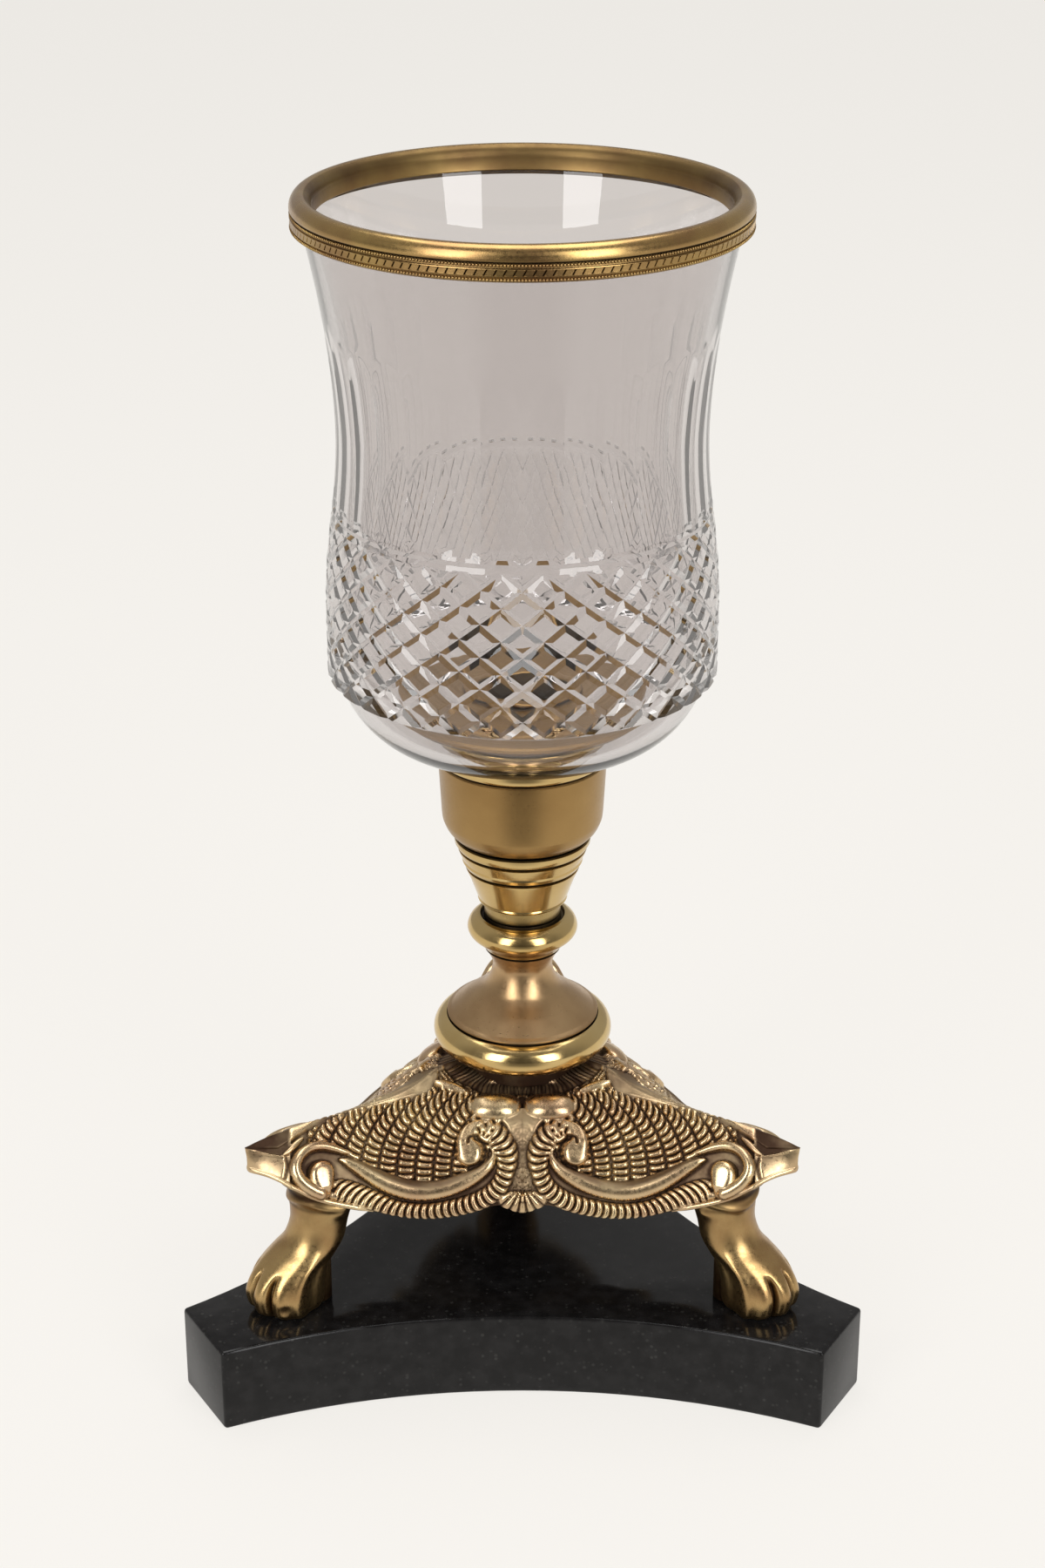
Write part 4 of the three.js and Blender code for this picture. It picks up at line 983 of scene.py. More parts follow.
def applyModifiers(piece):
    shaped = bpy.data.meshes.new_from_object(piece.evaluated_get(bpy.context.evaluated_depsgraph_get()))
    old = piece.data
    piece.modifiers.clear()
    piece.data = shaped
    name = old.name
    bpy.data.meshes.remove(old)
    shaped.name = name


graniteSlab()
print("granite slab made")


# Casting: three carved fronts. Seen square on, a front has x across it, d out from the axis and z up.
# Its carving is laid out on a plane that leans back by casting["lean"], as [x, drop] from the crown's
# middle, so that drop runs down the front as the eye sees it.

casting = {
    "wall": 3.2, "crown": 79.1, "cornerReach": 78, "topDrop": 8.6, "bottomDrop": 15.1, "shellDrop": 27.8,
    "faceSpan": 11.5, "reach": 38, "flare": 5.6, "fullness": 1.2, "crownFullness": 0.5,
    "columns": 480, "rows": 184, "innerRows": 8, "lean": 24.08, "ground": -1.0, "ridgeBlend": 3.0,
    "halfSpan": 67.5, "hollowDark": 0.9, "insideDark": 0.9, "tipRound": 0.9, "tipReach": 2.4,
    "bossReach": 8.6, "bossTop": 67.5, "bossTopReach": 4.5, "seatReach": 16.5, "seatThickness": 5,
    "seatGap": 0.3, "boltBite": 8.7,
}
ridgeStations = [(0, 0), (0.25, 0.02), (0.33, 0.15), (0.4, 0.45), (0.52, 0.66), (0.66, 0.73), (0.74, 0.72),
                 (0.82, 0.76), (0.92, 0.82), (1, 0.95)]
edgeStations = [(0, 0), (0.09, 0.16), (0.17, 0.02), (0.27, -0.06), (0.38, -0.05), (0.53, 0.13),
                (0.65, 0.31), (0.75, 0.53), (0.83, 0.82), (0.91, 0.97), (1, 1)]

# Carving on one half of a front. A stroke is [x, drop, radius] stations and a line is [x, drop] ones.
tube = [
    (44.4, 27.0, 0.5), (43.0, 27.6, 1.1), (40.6, 28.8, 1.6), (37.8, 30.5, 2.0), (33.5, 32.8, 2.4),
    (29.1, 34.4, 2.6), (25.5, 35.0, 2.6), (22.0, 34.9, 2.5), (18.4, 34.2, 2.4), (14.9, 32.9, 2.3),
    (12.3, 31.7, 2.0), (10.0, 30.2, 1.7), (8.2, 28.5, 1.35), (7.3, 26.9, 0.9), (7.3, 25.5, 0.55),
    (8.1, 24.4, 0.3),
]
comma = [
    (6.6, 17.5, 0.25), (9.2, 18.3, 0.5), (11.7, 19.2, 1.07), (13.4, 20.9, 1.75), (14.0, 23.2, 2.5),
    (13.1, 25.8, 3.5),
]
hook = [
    (13.4, 23.6), (13.2, 22.6), (12.2, 22.0), (10.4, 22.9), (9.3, 24.6), (9.3, 26.8), (10.5, 28.6),
    (13.2, 29.5),
]
cornerBand = [
    (42.2, 25.6, 0.5), (43.7, 25.2, 0.75), (46.8, 24.1, 1.1), (49.6, 23.6, 1.3), (52.2, 24.1, 1.4),
    (54.2, 25.6, 1.5), (55.2, 27.8, 1.5), (54.8, 30.1, 1.5), (53.3, 32.2, 1.6), (51.1, 33.9, 1.8),
    (49.2, 34.8, 1.9),
]
eye = [(48.2, 35.0, 1.4), (48.5, 33.3, 2.4), (48.9, 31.4, 3.1), (49.1, 30.1, 3.2)]
fringe = [
    (45.9, 34.2, 2.5), (44.0, 34.5, 2.9), (40.6, 35.6, 2.9), (36.5, 37.2, 2.6), (32.0, 39.0, 2.2),
    (28.0, 39.9, 2.1), (23.0, 40.2, 2.1), (18.4, 39.7, 2.3), (14.1, 38.8, 2.4), (10.2, 37.4, 2.5),
    (7.0, 35.2, 2.5), (4.9, 32.4, 2.4), (3.9, 29.2, 2.5), (3.9, 26.0, 3.0), (5.2, 23.0, 3.2),
    (7.6, 20.6, 2.7), (10.0, 19.9, 1.7), (11.8, 20.6, 1.2),
]
fringeInside = [
    (6.5, 17.4), (4.2, 19.3), (2.0, 22.8), (0.6, 25.8), (1.0, 28.6), (2.3, 31.3), (2.7, 34.2),
    (4.8, 36.3), (5.6, 37.7),
]
border = [
    (59.5, 24.0), (57.5, 22.7), (55.0, 20.9), (52.2, 19.0), (50.0, 17.6), (47.5, 16.6), (45.0, 16.0),
    (40.0, 15.1), (35.0, 14.4), (30.0, 13.4), (26.0, 12.3), (23.5, 11.4), (22.2, 10.2), (21.5, 8.6),
    (21.1, 5.0),
]
fanFloor = [
    (8.0, 26.0), (10.0, 29.0), (14.0, 32.5), (22.0, 34.9), (29.0, 34.4), (37.8, 30.5), (43.0, 27.4),
    (46.0, 24.2), (50.0, 23.3), (53.0, 24.0),
]
lump = [(58.3, 25.4, 0.4), (56.8, 24.3, 0.75), (55.0, 22.6, 0.8), (53.8, 21.6, 0.4)]
tipLine = [(68.0, 23.9), (64.2, 24.7), (60.7, 25.4), (57.9, 25.8)]
tipInner = [(57.5, 26.0), (57.2, 28.0), (58.1, 31.7)]
shoulder = [(21.6, 9.4, 0.6), (19.6, 9.7, 1.0), (17.4, 10.2, 1.05), (15.4, 11.0, 0.8), (14.3, 11.6, 0.4)]
dishEdge = [
    (0, 12.5), (6.4, 12.4), (9.3, 12.2), (10.7, 11.8), (13.5, 10.5), (15.6, 9.7), (17.6, 8.8),
    (20.9, 6.6), (24.0, 4.0),
]
fan = {"middle": 22.0, "pitch": 4.45, "foot": 31.4, "bend": 0.01, "power": 2.3, "rung": 1.65,
       "height": 1.1, "low": 9, "high": 52.6, "groove": 1.0}
fringeRib = {"pitch": 1.8, "gap": 0.42, "lean": 0.45, "bow": 0.13, "height": 0.95}
field = {"top": 15.5, "bottom": 37.5, "stipple": 0.25}
shell = {"middle": 37.5, "top": 35.2, "half": (6.0, 3.6), "focus": 33.5, "rays": 3.2}
tip = {"start": 56.4, "edgeWidth": 0.35, "creaseWidth": 0.4, "depth": 0.5}
lipRoll = {"rise": 0.7, "radius": 0.9, "height": 1.1}
hookGroove = {"width": 0.32, "depth": 0.9}
lobes = {"middle": (6.6, 15.0), "half": (6.4, 3.1), "height": 2.5, "power": 2.6}
dish = {"flutes": 19, "depth": 0.4}
rubbedPatch = {"half": 8.8, "drop": 9.2, "height": 0.5}


def stationCurve(stations, shares):
    curve = [station[:2] for station in curveThrough([(x, y, 0) for x, y in stations], 8)]
    return np.interp(shares, [x for x, _ in curve], [y for _, y in curve])


def follow(stroke, x, drop):
    # How far each point is from a stroke, how far along the nearest place is, its radius and its side
    stroke = curveThrough(stroke, 6)
    apart = np.full(x.shape, 1e3)
    along, radius, side = np.zeros(x.shape), np.ones(x.shape), np.zeros(x.shape)
    travelled = 0.0
    for (x0, y0, r0), (x1, y1, r1) in zip(stroke, stroke[1:]):
        dx, dy = x1 - x0, y1 - y0
        length = math.hypot(dx, dy)
        share = np.clip(((x - x0) * dx + (drop - y0) * dy) / length ** 2, 0, 1)
        gap = np.hypot(x - x0 - share * dx, drop - y0 - share * dy)
        near = gap < apart
        apart[near] = gap[near]
        along[near] = (travelled + share * length)[near]
        radius[near] = (r0 + (r1 - r0) * share)[near]
        side[near] = np.sign(dx * (drop - y0) - dy * (x - x0))[near]
        travelled += length
    return apart, along, radius, side


def roundOver(apart, radius, power=2):
    return np.clip(1 - (apart / radius) ** power, 0, 1) ** 0.5


def softStep(value, low, high):
    share = np.clip((value - low) / (high - low), 0, 1)
    return share * share * (3 - 2 * share)


def ribs(place, gap):
    # Rounded ribs one apart: 1 on a rib's top and 0 in the gap between two
    side = np.abs(place % 1 - 0.5) * 2
    return np.clip(1 - (side / (1 - gap / 2)) ** 3, 0, 1) ** 0.5


def lay(relief, shape, tone, where):
    # Puts a shape on the relief where it stands higher than what is there
    higher = np.where(where, shape, -9) > relief["height"]
    relief["dark"] = np.where(higher, tone, relief["dark"])
    relief["height"] = np.where(higher, shape, relief["height"])


def carveFan(relief, x, drop, ridge):
    # Fan of curved columns, each with a stack of small rungs square to it
    rise = np.clip(fan["foot"] - drop, 0, 20)
    foot = x + fan["bend"] * rise ** fan["power"]
    slope = fan["bend"] * fan["power"] * rise ** (fan["power"] - 1) + 0.25 * softStep(foot, 30, 42)
    column = (foot - fan["middle"]) / fan["pitch"]
    number = np.floor(column)
    across = (column - number - 0.5) * 2
    lift = drop + slope * across * fan["pitch"] / 2 + 0.3 * across ** 2
    rung = ribs(lift / fan["rung"] + 0.37 * number + 0.1 * np.sin(number * 5.1), 0.4)
    tread = rung * np.clip(1 - (np.abs(across) / 0.9) ** 6, 0, 1) ** 0.5
    gap = fan["groove"] * softStep(x, 43, 48)
    inside = (foot > fan["low"]) & (x < fan["high"])
    inside = inside & (drop > ridge + gap) & (drop < stationCurve(fanFloor, x))
    tone = 0.72 - 0.74 * np.clip(tread * 1.7 - 0.2, 0, 1)
    lay(relief, casting["ground"] + 0.1 + fan["height"] * tread, tone, inside)


def carveFringe(relief, x, drop):
    # Fringe of slanted crescent ribs
    apart, along, radius, side = follow(fringe, x, drop)
    offset = apart * side
    lean = fringeRib["lean"] * softStep(x, 22, 44)
    bowed = along - lean * offset - fringeRib["bow"] * offset ** 2
    rib = ribs(bowed / fringeRib["pitch"], fringeRib["gap"])
    band = roundOver(apart, radius, 4)
    tone = 0.9 - 0.95 * np.clip(rib * 1.4 - 0.3, 0, 1) * softStep(band, 0.3, 0.8)
    shape = casting["ground"] + 0.1 + band * (0.45 + fringeRib["height"] * rib)
    lay(relief, shape, tone, apart < radius)


def carveField(relief, x, drop):
    # Field between the two halves: smooth below the lobes, dark and stippled lower down
    inner = stationCurve([(down, across) for across, down in fringeInside], drop)
    share = softStep(inner - x, -0.3, 0.6) * (drop > field["top"]) * (drop < field["bottom"])
    low = softStep(drop, 17.5, 25)
    stipple = np.sin(7.3 * x + 3 * np.sin(5.1 * drop)) * np.sin(6.7 * drop + 2 * np.sin(4.7 * x)) * low
    level = casting["ground"] + 1.35 - 1.2 * low + field["stipple"] * stipple
    relief["height"] = np.where(share > 0, relief["height"] * (1 - share) + share * level, relief["height"])
    relief["dark"] = relief["dark"] * (1 - share) + share * (0.4 + 0.35 * low + 0.3 * stipple)


def carveShell(relief, x, drop):
    # Shell at the foot of the middle
    reach = np.hypot(x / shell["half"][0], (drop - shell["middle"]) / shell["half"][1])
    turnedBy = np.arctan2(x, np.maximum(drop - shell["focus"], 0.2))
    fanned = ribs(turnedBy * shell["rays"] + 0.5, 0.4)
    shape = casting["ground"] + np.clip(1 - reach ** 3, 0, 1) ** 0.5 * (0.8 + 0.7 * fanned)
    lay(relief, shape, 0.85 - 0.85 * fanned, (reach < 1) & (drop > shell["top"]))


def carveRidgeBand(relief, x, drop, ridge):
    # Smooth band along the ridge, above the fan
    over = softStep(ridge - drop, -0.4, 0.6)
    tone = 0.8 - over * (0.1 + 0.65 * softStep(x, 22, 38))
    shape = casting["ground"] + 0.2 + 1.1 * over * softStep(x, 19, 30)
    lay(relief, shape, tone, (x > 20.8) & (drop < ridge + 0.4))


def carveTip(relief, x, drop):
    # Plain corner face beyond the volute, with a bright upper edge, an inner crease and the lump
    face = softStep(x, tip["start"], tip["start"] + 1)
    lay(relief, np.full(x.shape, casting["ground"] + 0.9), 0.75 - 0.6 * face, x > tip["start"])
    top = stationCurve(sorted(tipLine), x)
    above = softStep(top - drop, -0.1, 0.5) * face
    edgeLine = np.exp(-((drop - top) / tip["edgeWidth"]) ** 2) * face
    apart, *_ = follow([(across, down, 1) for across, down in tipInner], x, drop)
    crease = np.exp(-(apart / tip["creaseWidth"]) ** 2)
    relief["height"] += 0.3 * edgeLine - tip["depth"] * above - tip["depth"] * crease
    relief["dark"] = np.maximum(relief["dark"], above) * (1 - 0.9 * edgeLine)
    relief["dark"] = np.maximum(relief["dark"], 0.85 * crease)
    apart, _, radius, _ = follow(lump, x, drop)
    lay(relief, casting["ground"] + 0.3 + 0.9 * roundOver(apart, radius), 0.3, apart < radius)


def carveLip(relief, x, drop, bottom):
    # Smooth lip along the lower edge, from the corner to the fringe
    apart = np.abs(bottom - lipRoll["rise"] - drop)
    lip = softStep(x, 36, 41) * roundOver(np.clip(apart, 0, lipRoll["radius"]), lipRoll["radius"])
    lay(relief, casting["ground"] + 0.2 + lipRoll["height"] * lip, 0.15, lip > 0.02)


def carveScrolls(relief, x, drop):
    # Tube, volutes and comma, and the hooked groove round the comma's head
    apart, _, radius, side = follow(tube, x, drop)
    arch = roundOver(apart, radius)
    # Painted shade: the tube's lower side, which faces down, is darkened.
    under = softStep(apart * side / radius, 0, 0.5)
    shape = casting["ground"] + 0.1 + arch * (0.4 + 1.0 * radius)
    lay(relief, shape, 0.05 + 0.8 * under, apart < radius)
    for stroke, tall, flat in ((cornerBand, 1.25, 2), (eye, 0.9, 4), (comma, 0.8, 5)):
        apart, _, radius, _ = follow(stroke, x, drop)
        arch = roundOver(apart, radius, flat)
        shape = casting["ground"] + 0.2 + arch * (0.5 + tall * np.minimum(radius, 2.4))
        lay(relief, shape, 0.5 * softStep(1 - arch, 0.3, 0.8), apart < radius)
    apart, *_ = follow([(across, down, 1) for across, down in hook], x, drop)
    groove = np.exp(-(apart / hookGroove["width"]) ** 2)
    relief["height"] -= hookGroove["depth"] * groove * np.clip(relief["height"] - casting["ground"], 0, 1)
    relief["dark"] = np.maximum(relief["dark"], 0.95 * groove)


def carveLobes(relief, x, drop):
    # Lobes and shoulders under the foot ring
    reach = (np.abs((x - lobes["middle"][0]) / lobes["half"][0]) ** lobes["power"]
             + np.abs((drop - lobes["middle"][1]) / lobes["half"][1]) ** lobes["power"])
    shape = casting["ground"] + 0.4 + lobes["height"] * np.clip(1 - reach, 0, 1) ** 0.5
    lay(relief, shape, 0.35 * softStep(reach, 0.6, 1), reach < 1)
    apart, _, radius, _ = follow(shoulder, x, drop)
    lay(relief, casting["ground"] + 0.4 + 1.5 * roundOver(apart, radius), 0.15, apart < radius)


def carveDish(relief, x, drop, out):
    # Fluted dish round the crown, painted dark as shade under the foot ring, and the small rubbed place
    # in front of it
    edge = stationCurve(dishEdge, x)
    share = softStep((edge - drop) / (1 + 2.5 * softStep(x, 14, 21)), -0.2, 0.9)
    heading = np.arctan2(x, out)
    spoke = ribs(heading * dish["flutes"] + 0.25 * np.sin(out * 1.1), 0.5)
    level = casting["ground"] - dish["depth"] + 0.3 * spoke
    relief["height"] = relief["height"] * (1 - share) + share * level
    # Painted shade: the dish is darkened almost to the dark colour, a little less on its flutes.
    relief["dark"] = relief["dark"] * (1 - share) + share * (1.0 - 0.22 * spoke * (1 + np.sin(heading * 41)))
    rubbed = softStep(rubbedPatch["half"] - x, 0, 1.4) * softStep(rubbedPatch["drop"] - drop, 0, 0.5)
    relief["height"] += rubbedPatch["height"] * rubbed
    relief["dark"] *= 1 - 0.7 * rubbed


def carve(x, drop, out, bottom):
    # Height of the carving over the casting's plain surface, and how dark it is there: patina in its
    # hollows, and painted shade on the tube's lower side and in the dish under the foot ring
    x = np.abs(x)
    relief = {"height": np.full(x.shape, casting["ground"]), "dark": np.full(x.shape, 0.8)}
    ridge = stationCurve(sorted(border), x)
    carveFan(relief, x, drop, ridge)
    carveFringe(relief, x, drop)
    carveField(relief, x, drop)
    carveShell(relief, x, drop)
    carveRidgeBand(relief, x, drop, ridge)
    carveTip(relief, x, drop)
    carveLip(relief, x, drop, bottom)
    carveScrolls(relief, x, drop)
    carveLobes(relief, x, drop)
    carveDish(relief, x, drop, out)
    return relief["height"], relief["dark"]


def blurred(values, size):
    kernel = np.hanning(2 * size + 3)[1:-1]
    kernel /= kernel.sum()
    padded = np.pad(values, size, mode="edge")
    rows = np.apply_along_axis(lambda line: np.convolve(line, kernel, mode="valid"), 1, padded)
    return np.apply_along_axis(lambda line: np.convolve(line, kernel, mode="valid"), 0, rows)


def plainFront(share, down, wall):
    # The casting's plain surface: arrays of x, d and z
    tipAcross = casting["cornerReach"] * math.sin(math.radians(60))
    tipOut = casting["cornerReach"] * math.cos(math.radians(60))
    place = np.abs(share)
    x = share * (tipAcross - wall * math.sqrt(3))
    ridgeOut = np.abs(x) / math.sqrt(3)
    ridgeTop = casting["crown"] - wall - casting["topDrop"] * stationCurve(ridgeStations, place)
    lifts = stationCurve(edgeStations, place)
    edge = casting["crown"] - casting["shellDrop"] - (casting["bottomDrop"] - casting["shellDrop"]) * lifts
    shoulder = tipAcross - casting["faceSpan"]
    outerX = place * tipAcross
    flared = casting["reach"] + casting["flare"] * (np.minimum(outerX, shoulder) / shoulder) ** 2
    run = np.clip((outerX - shoulder) / casting["faceSpan"], 0, 1)
    edgeReach = flared + (tipOut - flared) * run - wall
    fullness = casting["fullness"] + casting["crownFullness"] * (1 - place) ** 2
    fall = down * math.pi / 2
    outward = np.sin(fall) ** (2 / fullness)
    upward = np.clip(np.cos(fall), 0, 1) ** (2 / fullness)
    return x, ridgeOut + (edgeReach - ridgeOut) * outward, edge + (ridgeTop - edge) * upward


def evenRows(share, rows):
    # For each column, the steps down that lie at equal distances along the surface
    fine = np.linspace(0, 1, 400)
    shares, downs = np.meshgrid(share, fine, indexing="ij")
    _, d, z = plainFront(shares, downs, 0)
    steps = np.hypot(np.diff(d, axis=1), np.diff(z, axis=1))
    length = np.concatenate([np.zeros((len(share), 1)), np.cumsum(steps, axis=1)], axis=1)
    even = np.linspace(0, 1, rows + 1)
    return np.array([np.interp(even * line[-1], line, fine) for line in length])


def frontSheet(name, columns, rows):
    # A closed sheet of even cells, x from -1 to 1 across it and y from 1 at the ridge down to -1
    bm = bmesh.new()
    bmesh.ops.create_grid(bm, x_segments=columns, y_segments=rows, size=1)
    edge = [e for e in bm.edges if e.is_boundary]
    ends = [e for e in edge if all(v.co.y < -1 + 1e-5 for v in e.verts)]
    ends += [e for e in edge if all(v.co.y > 1 - 1e-5 for v in e.verts)]
    bmesh.ops.bridge_loops(bm, edges=ends)
    bmesh.ops.holes_fill(bm, edges=[e for e in bm.edges if e.is_boundary], sides=0)
    return meshFrom(bm, name)


def outwardNormals(surface):
    normal = np.cross(np.gradient(surface, axis=1), np.gradient(surface, axis=0))
    normal /= np.maximum(np.linalg.norm(normal, axis=2, keepdims=True), 1e-9)
    outward = np.sign((normal * np.array([0, -1, 0.6])).sum(axis=2, keepdims=True))
    return normal * np.where(outward == 0, 1, outward)


def carvedSurface(share, downs):
    # Points and patina of a front's outer skin: the plain surface, raised by its carving
    x, d, z = plainFront(share[:, None] * np.ones(downs.shape[1]), downs, 0)
    lean = math.radians(casting["lean"])
    drop = (casting["crown"] - z) * math.cos(lean) + d * math.sin(lean)
    height, dark = carve(x, drop, d, drop[:, -1:])
    dark = np.clip(dark + casting["hollowDark"] * (blurred(height, 5) - height), 0, 1)
    surface = np.stack([x, -d, z], axis=2)
    # Two fronts meet along a ridge: near it, and near the tips, the carving may not move across it
    normal = outwardNormals(surface)
    ridge = np.stack([np.sign(x) * 0.5, np.full(x.shape, math.sqrt(3) / 2), np.zeros(x.shape)], axis=2)
    fromRidge = (d - np.abs(x) / math.sqrt(3)) * math.sqrt(3) / 2
    fromTip = (1 - np.abs(share))[:, None] * casting["halfSpan"]
    held = np.maximum(1 - softStep(fromRidge, 0, casting["ridgeBlend"]), 1 - softStep(fromTip, 0, 2.0))
    normal -= held[:, :, None] * (normal * ridge).sum(axis=2, keepdims=True) * ridge
    height = height * softStep(fromTip + 0.8, 0, 1.5) * (1 - 0.8 * (1 - softStep(fromRidge, 0, 1.2)))
    nearTip = np.clip(1 - fromTip / casting["tipReach"], 0, 1)
    height -= casting["tipRound"] * (1 - np.sqrt(1 - nearTip ** 2))
    return surface + normal * height[:, :, None], dark


def carvedFront(place, angle):
    name = f"casting_front_{place}"
    columns, rows, innerRows = casting["columns"], casting["rows"], casting["innerRows"]
    total = rows + 1 + innerRows
    mesh = frontSheet(name, columns, total)
    # Each point of the sheet takes its place from the outer skin, or from the plain inner one behind it
    points = pointsOf(mesh)
    column = np.round((points[:, 0] + 1) / 2 * columns).astype(int)
    row = np.round((1 - points[:, 1]) / 2 * total).astype(int)
    share = np.linspace(-1, 1, columns + 1)
    surface, dark = carvedSurface(share, evenRows(share, rows))
    inner = np.linspace(1, 0, innerRows + 1)
    x, d, z = plainFront(share[:, None] * np.ones(innerRows + 1), inner, casting["wall"])
    inside = np.stack([x, -d, z], axis=2)
    points = np.concatenate([surface, inside], axis=1)[column, row]
    tones = np.concatenate([dark, np.full(x.shape, casting["insideDark"])], axis=1)[column, row]
    mesh.vertices.foreach_set("co", points.ravel())
    patinaAndShade = mesh.attributes.new("patinaAndShade", "FLOAT", "POINT")
    patinaAndShade.data.foreach_set("value", tones.astype(np.float32))
    mesh.transform(Matrix.Rotation(math.radians(angle - frontAngles["front"]), 4, "Z"))
    bm = bmesh.new()
    bm.from_mesh(mesh)
    bmesh.ops.recalc_face_normals(bm, faces=bm.faces)
    if bm.calc_volume(signed=True) < 0:  # the deep carving can turn the whole shell inwards
        bmesh.ops.reverse_faces(bm, faces=bm.faces)
    bm.to_mesh(mesh)
    bm.free()
    addPiece(name, mesh, antiqueBrass, "stand", "base_casting", sharpAngle=50)


def castingCrown():
    # The seat that the foot ring stands on
    bore, crown, seat = turned["bore"], casting["crown"], casting["seatReach"]
    low = crown - casting["seatThickness"]
    profile = [(bore, low, 1), (seat - 1, low, 1), (seat, low + 1, 1), (seat, crown - 0.4, 1),
               (seat - 0.4, crown, 1), (bore, crown, 1)]
    mesh = meshFrom(turn(profile, 96), "casting_crown")
    addPiece("casting_crown", mesh, antiqueBrass, "stand", "base_casting")


def castingBoss(place, angle):
    # A boss that takes a leg, with the blind hole for its bolt
    name = f"casting_boss_{place}"
    bore, boss, gap = slab["bore"], casting["bossReach"], casting["seatGap"]
    bottom = levels(f"paw_leg_{place}")[1] + gap
    holeTop = bottom + casting["boltBite"] + gap
    top, topReach = casting["bossTop"], casting["bossTopReach"]
    profile = [(0, holeTop, 1), (bore, holeTop, 1), (bore, bottom, 0.9), (boss - 0.5, bottom, 0.8),
               (boss, bottom + 0.5, 0.6), (topReach, top, 0.9), (0, top, 1)]
    mesh = meshFrom(turn(profile, 48, boltAxis(angle), closed=False), name)
    addPiece(name, mesh, antiqueBrass, "stand", "base_casting")


for place, angle in frontAngles.items():
    carvedFront(place, angle)
castingCrown()
for place, angle in cornerAngles.items():
    castingBoss(place, angle)
print("casting carved")


# Paw legs: level sections from the sole up, as [height, reach, half length, half width]. Angles go
# round a paw from its middle toe, in degrees, and heights are shares of the leg's.

paw = {
    "sections": [(0, 67.0, 7.6, 7.2), (0.03, 67.6, 8.7, 8.0), (0.065, 67.9, 9.3, 8.5),
                 (0.17, 68.1, 9.6, 8.7), (0.27, 67.3, 9.3, 8.5), (0.35, 65.6, 8.8, 8.1),
                 (0.43, 62.9, 8.3, 7.8), (0.52, 60.2, 7.7, 7.4), (0.66, 58.6, 7.3, 7.3),
                 (0.8, 57.8, 8.0, 8.1), (0.91, 57.1, 8.8, 8.9), (1, 56.9, 9.0, 9.1)],
    "around": 180, "levels": 110, "heel": 3.9,
    "slits": (-37, 0, 37), "slitWidth": 4.2, "slitDepth": 2.0, "slitTop": 0.36, "lobe": 0.9,
    "toes": (-60, -20, 20, 60), "knuckle": 0.4, "knuckleHeight": 0.45, "knuckleWidth": 19,
    "sideRidge": 80, "sideRidgeHeight": 0.9, "sideHollow": 112, "sideHollowDepth": 0.6,
    "pit": (62, 0.1), "pitDepth": 0.7, "fold": 0.87, "foldHeight": 0.7, "foldWave": 0.025,
    "spur": (100, 0.8), "spurHeight": 1.1,
}


def hump(distance, width):
    return math.exp(-(distance / width) ** 2)


def pawCarving(share, degrees):
    # How far the paw's carving stands out at a place, and its darkness: patina in its hollows, and
    # painted shade on its back, which faces the holder's axis
    depth, dark = 0.0, 0.0
    toeShare = 1 - max(0, min(1, (share - paw["slitTop"] * 0.75) / (paw["slitTop"] * 0.25)))
    for slit in paw["slits"]:
        depth -= paw["slitDepth"] * toeShare * hump(degrees - slit, paw["slitWidth"])
        dark = max(dark, toeShare * hump(degrees - slit, paw["slitWidth"] / 1.3))
    if abs(degrees) < 2 * paw["slits"][-1]:
        raised = float(1 - softStep(share, 0.1, 0.42))
        depth += paw["lobe"] * raised * (1 - math.cos(math.radians(degrees / paw["slits"][-1] * 360))) / 2
    side = float(1 - softStep(share, 0.34, 0.52))
    hollow = abs(degrees) - paw["sideHollow"]
    depth += paw["sideRidgeHeight"] * side * hump(abs(degrees) - paw["sideRidge"], 11)
    depth -= paw["sideHollowDepth"] * side * hump(hollow, 14)
    for toe in paw["toes"]:
        knuckle = hump(degrees - toe, paw["knuckleWidth"]) * hump(share - paw["knuckle"], 0.1)
        depth += paw["knuckleHeight"] * knuckle
    pit = hump(degrees - paw["pit"][0], 6) * hump(share - paw["pit"][1], 0.035)
    depth -= paw["pitDepth"] * pit
    fold = paw["fold"] + paw["foldWave"] * math.sin(math.radians(3 * degrees))
    depth += paw["foldHeight"] * hump(share - fold, 0.03)
    depth += paw["spurHeight"] * hump(abs(degrees) - paw["spur"][0], 13) * hump(share - paw["spur"][1], 0.05)
    # Painted shade: the paw's back, turned to the holder's axis, is darkened.
    back = 0.85 * float(softStep(abs(degrees), 115, 150))
    cuff = 0.5 * hump(share - 0.93, 0.03)
    dark = max(dark, back, 0.8 * pit, cuff, 0.4 * hump(share - 0.83, 0.02), 0.3 * side * hump(hollow, 12))
    return depth, dark


def keepHeel(x, y, reach, dark):
    # The heel keeps metal round the bolt, which stands nearer the holder's axis than the paw does
    bolt = reach - fasteners["boltCircle"]
    away = math.hypot(x, y)
    inward, aside = -x / away, bolt * y / away
    if abs(aside) < paw["heel"] and inward > 0:
        heel = bolt * inward + math.sqrt(paw["heel"] ** 2 - aside ** 2)
        if heel > away:
            # Painted shade: the heel is darkened, the more the further it stands out of the paw.
            return x * heel / away, y * heel / away, max(dark, min(1, (heel - away) / 1.5))
    return x, y, dark


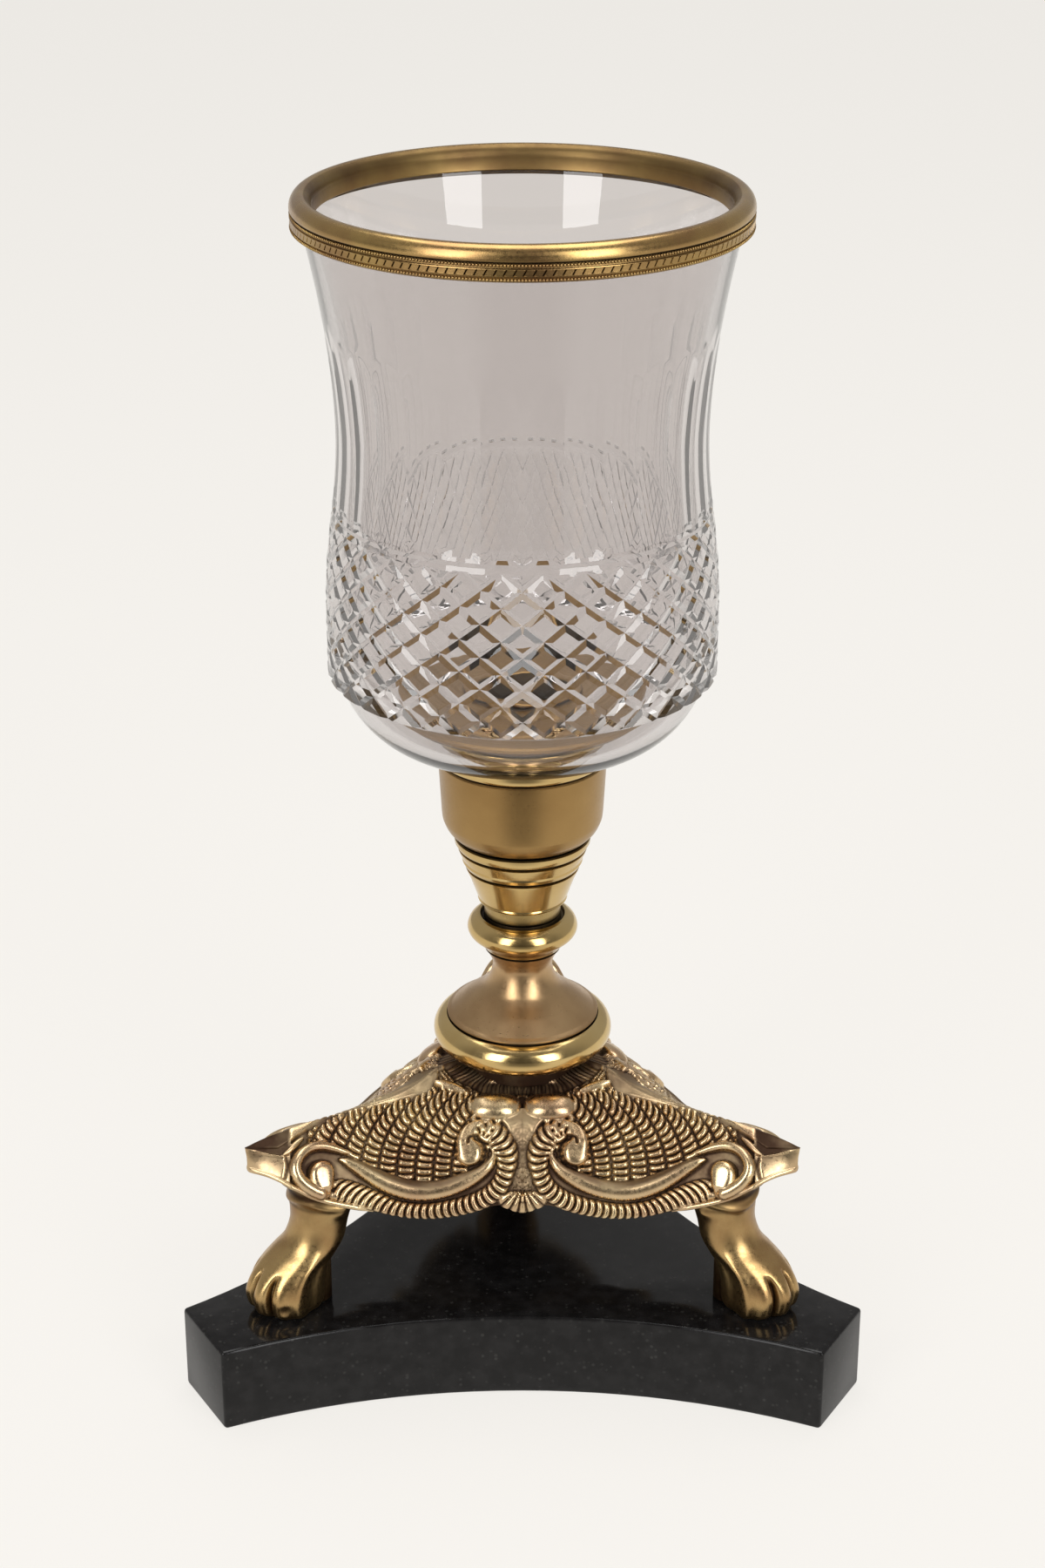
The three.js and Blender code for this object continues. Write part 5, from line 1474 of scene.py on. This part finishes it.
def pawLeg(place, angle):
    name = f"paw_leg_{place}"
    low, high = levels(name)
    bm = bmesh.new()
    bmesh.ops.create_cone(bm, cap_ends=False, segments=paw["around"], radius1=1, radius2=1, depth=1)
    upright = [e for e in bm.edges if abs(e.verts[0].co.z - e.verts[1].co.z) > 0.5]
    bmesh.ops.subdivide_edges(bm, edges=upright, cuts=paw["levels"] - 1, use_grid_fill=True)
    patinaAndShade = bm.verts.layers.float.new("patinaAndShade")
    curves = [list(zip(*curveThrough([(s[0], s[i], 0) for s in paw["sections"]], 8))) for i in (1, 2, 3)]
    for vert in bm.verts:
        share = vert.co.z + 0.5
        reach, length, width = [float(np.interp(share, curve[0], curve[1])) for curve in curves]
        direction = math.atan2(vert.co.y, vert.co.x)
        depth, dark = pawCarving(share, math.degrees(direction))
        x = (length + depth) * math.cos(direction)
        y = (width + depth) * math.sin(direction)
        x, y, dark = keepHeel(x, y, reach, dark)
        # Painted shade: the leg darkens towards its head under the casting and towards its sole on the slab;
        # above its middle it is a little darker all round.
        sole, head = 0.3 * max(0, 1 - share / 0.05), 0.5 * max(0, (share - 0.84) / 0.16)
        vert[patinaAndShade] = min(1, dark + head + sole + 0.12 + 0.12 * float(softStep(share, 0.45, 0.6)))
        vert.co = (reach + x, y, low + share * (high - low))
    # The bolt's bore: both rims are drawn in to it and joined
    for level in (low, high):
        edge = [e for e in bm.edges if e.is_boundary and all(abs(v.co.z - level) < 1e-3 for v in e.verts)]
        drawn = bmesh.ops.extrude_edge_only(bm, edges=edge)
        for vert in (part for part in drawn["geom"] if isinstance(part, bmesh.types.BMVert)):
            away = Vector((vert.co.x - fasteners["boltCircle"], vert.co.y, 0)).normalized() * slab["bore"]
            vert.co = (fasteners["boltCircle"] + away.x, away.y, level)
    bmesh.ops.bridge_loops(bm, edges=[e for e in bm.edges if e.is_boundary])
    toCorner = Matrix.Rotation(math.radians(angle), 3, "Z")
    bmesh.ops.rotate(bm, verts=bm.verts, cent=(0, 0, 0), matrix=toCorner)
    bmesh.ops.recalc_face_normals(bm, faces=bm.faces)
    addPiece(name, meshFrom(bm, name), pawBrass, "stand", name, sharpAngle=50)


for place, angle in cornerAngles.items():
    pawLeg(place, angle)
print("paw legs made")
